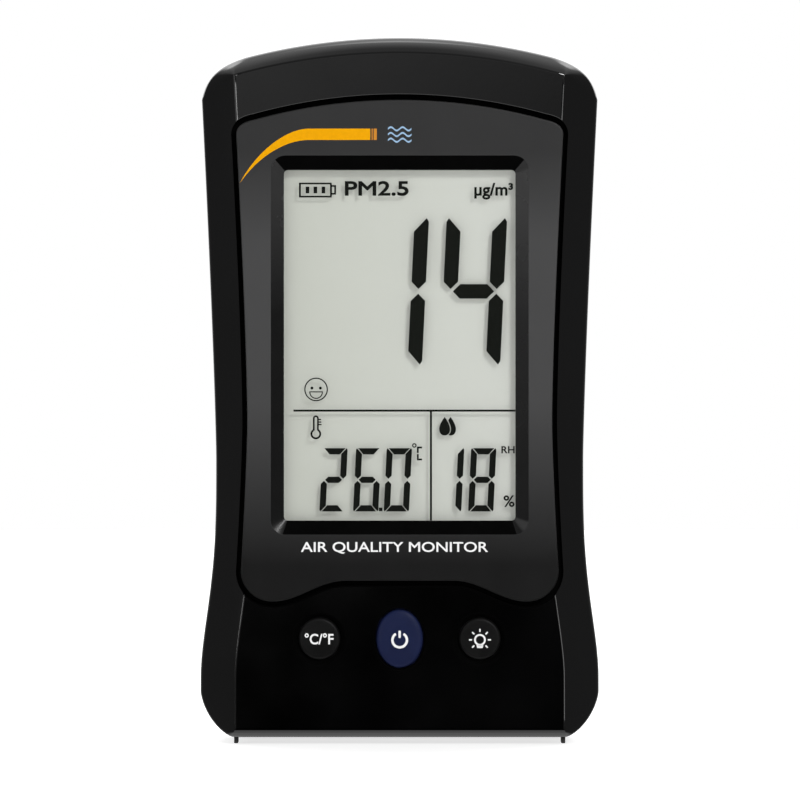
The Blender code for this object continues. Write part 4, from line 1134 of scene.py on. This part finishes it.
def button_rings(centre, half_sizes, flat):
    """A nearly flat crown out to `flat` of the cap's width, a soft shoulder, then its flange and stem."""
    half_width, half_height = half_sizes
    profile = [(flat * reach, drop) for reach, drop in ((0.25, 0.0), (0.6, 0.02), (0.97, 0.045))]
    for a in angles(0, 90, 12):
        profile.append((flat + (1 - flat) * math.sin(a), 0.05 + 0.85 * (1 - math.cos(a)) ** 1.3))
    rings = []
    for scale, drop in profile:
        rings.append(at_depth(oval(centre, half_width * scale, half_height * scale), CROWN_Y + drop))
    rings.append(at_depth(oval(centre, half_width, half_height), FLANGE_Y))
    for y in (FLANGE_Y, STEM_Y):
        rings.append(at_depth(oval(centre, half_width + 1.0, half_height + 0.9), y))
    for y in (STEM_Y, STEM_BACK_Y):
        rings.append(at_depth(oval(centre, STEM_RADIUS, STEM_RADIUS), y))
    return rings


def make_buttons():
    side = (SIDE_BUTTON_RADIUS, SIDE_BUTTON_RADIUS)
    power = (POWER_HALF_WIDTH, POWER_HALF_HEIGHT)
    table = (
        ("unit", -BUTTON_SPACING, side, 0.8, "button_grey", draw_units),
        ("power", 0.0, power, 0.6, "button_blue", draw_power),
        ("light", BUTTON_SPACING, side, 0.8, "button_grey", draw_lamp),
    )
    for name, x, half_sizes, flat, finish, draw in table:
        shape = loft(button_rings((x, BUTTON_Z), half_sizes, flat))
        cap = new_object(f"{name}_button_cap", shape, FINISH[finish])
        finish_piece(cap, f"{name}_key", finish, f"{name}_button", angle=50.0)
        mark = Drawing()
        draw(mark, x, BUTTON_Z)
        add_marks(f"{name}_button_mark", mark, CROWN_Y + 0.02, "print_white", f"{name}_key", finish)


def draw_units(d, x, z):
    d.text("°C/°F", x - 3.2, z - 1.2, x + 3.05, z + 1.15, 0.06)


def draw_power(d, x, z):
    z -= 0.3
    d.ring(x, z, 1.6, 0.54, 122.0, 418.0, 48)
    d.add(rounded_box(0.27, z + 0.45, z + 2.1, 0.25, 5, x))


def draw_lamp(d, x, z):
    z -= 0.25
    d.ring(x, z, 1.1, 0.4, steps=36)
    d.add([(x - 0.76, z - 1.12), (x - 0.6, z - 1.8), (x + 0.6, z - 1.8), (x + 0.76, z - 1.12)])
    for a in angles(-45, 225, 6):
        out = Vector((math.cos(a), math.sin(a)))
        centre = Vector((x, z))
        d.bar(centre + out * 1.75, centre + out * 2.42, 0.32)


# --- stand


def make_stand():
    outline = rounded_polygon(leg_outline(0.0, STAND_AXIS_Z), 1.2)
    leg = new_object("stand_leg_plate", prism(outline, LEG_FRONT_Y, LEG_BACK_Y, 0.35), FINISH["case_back"])
    barrel = [(1.35, -STAND_HALF), (1.6, -STAND_HALF + 0.25), (1.6, STAND_HALF - 0.25), (1.35, STAND_HALF)]
    join(leg, lay_across(turned((0, 0), barrel, 48), STAND_AXIS_Y, STAND_AXIS_Z))
    bore = round_bar((0, 0), PIN_RADIUS + PIN_CLEARANCE, -23.0, 23.0, 24)
    cut(leg, lay_across(bore, STAND_AXIS_Y, STAND_AXIS_Z))
    section = ((-0.2, 15.9), (0, 16.2), (0.2, 16.6), (0.2, 18))
    for i in range(GRIPS):
        low = GRIP_LOW + GRIP_STEP * i
        groove = rounded_box(8.0, low, low + GRIP_HEIGHT, 0.69, 6)
        cut(leg, flared(groove, section))
    finish_piece(leg, "stand", "case_back", "stand_leg")
    low, high = (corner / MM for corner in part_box("stand_pad"))
    pad = rounded_polygon(rectangle(low.x, low.z - LIFT, high.x, high.z - LIFT), 0.6)
    pad = new_object("stand_pad_strip", prism(pad, low.y, high.y, 0.3), FINISH["rubber"])
    finish_piece(pad, "stand", "rubber", "stand_pad")


# --- carried-over nodes


def finish_cad_nodes():
    """Give every CAD node that stays in view its slot's finish."""
    slots = {row["node"]: row["material_slot"] for row in frame["record"]["subparts"]}
    for name, node in frame["nodes"].items():
        node.data.materials.clear()
        node.data.materials.append(FINISH[slots[name]])


# --- stage, light and camera


def make_stage():
    bm = bmesh.new()
    bmesh.ops.create_circle(bm, cap_ends=True, segments=96, radius=1.6)
    floor = linked("floor", mesh_from("floor", bm))
    floor.location.z = -0.00003
    floor.visible_glossy = False
    s = Shading("floor_white", (0.36, 0.36, 0.36), 0.7)
    s.set(Emission_Color=(1, 1, 1, 1), Emission_Strength=0.72)
    s.vary_roughness(0.65, 0.75, 8.0)
    floor.data.materials.append(s.material)


def area_light(name, place, target, size, power):
    light = bpy.data.lights.new(name, "AREA")
    light.shape = "RECTANGLE"
    light.size, light.size_y = size
    light.energy = power
    obj = linked(name, light)
    obj.location = place
    obj.rotation_euler = (Vector(target) - Vector(place)).to_track_quat("-Z", "Y").to_euler()


def make_world():
    """A studio seen by direction: pale behind and above the object, dark grey at the sides and in front."""
    world = bpy.data.worlds.new("studio")
    bpy.context.scene.world = world
    world.use_nodes = True
    tree = world.node_tree
    tree.nodes.clear()
    coords = tree.nodes.new("ShaderNodeTexCoord")
    axes = feed(tree.nodes.new("ShaderNodeSeparateXYZ"), Vector=coords.outputs["Generated"])
    x, y, z = (axes.outputs[name] for name in "XYZ")
    sideways = compute("ABSOLUTE", x)

    # In front: dark below the level and grey above it, a little lower down on the left.
    lifted = compute("SUBTRACT", z, times(x, 0.6))
    front = times(ramp(lifted, -0.02, 0.12, 0.0, 0.9), ramp(z, 0.16, 0.3, 1.0, 0.45))
    # Dark grey at both sides.
    to_side = ramp(sideways, 0.12, 0.28)
    level = compute("ADD", front, times(to_side, compute("SUBTRACT", 0.26, front)))
    # A narrow bright strip at each side, which draws the line along the case's upright ridges.
    strips = ramp(compute("ABSOLUTE", compute("SUBTRACT", sideways, 0.45)), 0.12, 0.06)
    fades = (
        ramp(y, -0.6, -0.75),
        ramp(x, -0.05, 0.05, 14.0, 5.0),
        compute("MAXIMUM", ramp(z, 0.0, 0.04), ramp(x, -0.05, 0.05)),
        ramp(z, -0.22, -0.12),
        ramp(z, 0.08, 0.16, 1.0, 0.0),
    )
    for fade in fades:
        strips = times(strips, fade)
    # Pale overhead, and brightest above and behind, which draws the line along the top edge.
    overhead = times(ramp(z, 0.5, 0.85), ramp(y, -0.5, 0.3, 0.5, 1.7))
    rim = times(ramp(z, 0.05, 0.3), ramp(y, 0.25, 0.5, 0.0, 5.0))
    light = level
    for part in (strips, overhead, rim, ramp(z, -0.6, -0.88, 0.0, 2.3), ramp(y, 0.1, 0.7, 0.0, 0.6)):
        light = compute("MAXIMUM", light, part)

    studio = feed(tree.nodes.new("ShaderNodeBackground"), Strength=light)
    white = feed(tree.nodes.new("ShaderNodeBackground"), Color=(1, 1, 1, 1))
    path = tree.nodes.new("ShaderNodeLightPath")
    mix = feed(tree.nodes.new("ShaderNodeMixShader"), Fac=path.outputs["Is Camera Ray"])
    tree.links.new(studio.outputs["Background"], mix.inputs[1])
    tree.links.new(white.outputs["Background"], mix.inputs[2])
    feed(tree.nodes.new("ShaderNodeOutputWorld"), Surface=mix.outputs["Shader"])


def ramp(value, start, end, low=0.0, high=1.0):
    return map_range(value, start, end, low, high, "SMOOTHSTEP")


def make_lights():
    middle = (0, 0, 0.08)
    area_light("key_softbox", (0.49, -0.92, 0.7), middle, (0.28, 0.28), 8.0)
    area_light("fill_softbox", (-0.75, -0.65, 0.45), middle, (0.5, 0.7), 1.2)


def make_camera():
    """Level and square to the display, far enough back that the case shows almost no perspective."""
    sensor, lens, frame_width = 36.0, 200.0, 0.17744
    below_centre = 0.00294
    data = bpy.data.cameras.new("camera")
    data.sensor_width = sensor
    data.lens = lens
    data.clip_start = 0.01
    data.clip_end = 50.0
    camera = linked("camera", data)
    distance = lens / sensor * frame_width
    height = (LIFT + CASE_HEIGHT / 2) * MM - below_centre
    camera.location = (0.00007, SIDE_EDGE_Y * MM - distance, height)
    camera.rotation_euler = (math.radians(90), 0, 0)
    bpy.context.scene.camera = camera
    bpy.context.scene.view_settings.view_transform = "Standard"


make_camera()
make_world()
make_lights()
make_stage()
finish_cad_nodes()
make_front_cover()
make_rear_cover()
make_seam_lip()
make_feet()
make_case_screws()
make_bezel()
make_lcd()
make_readings()
make_panel_print()
make_buttons()
make_stand()
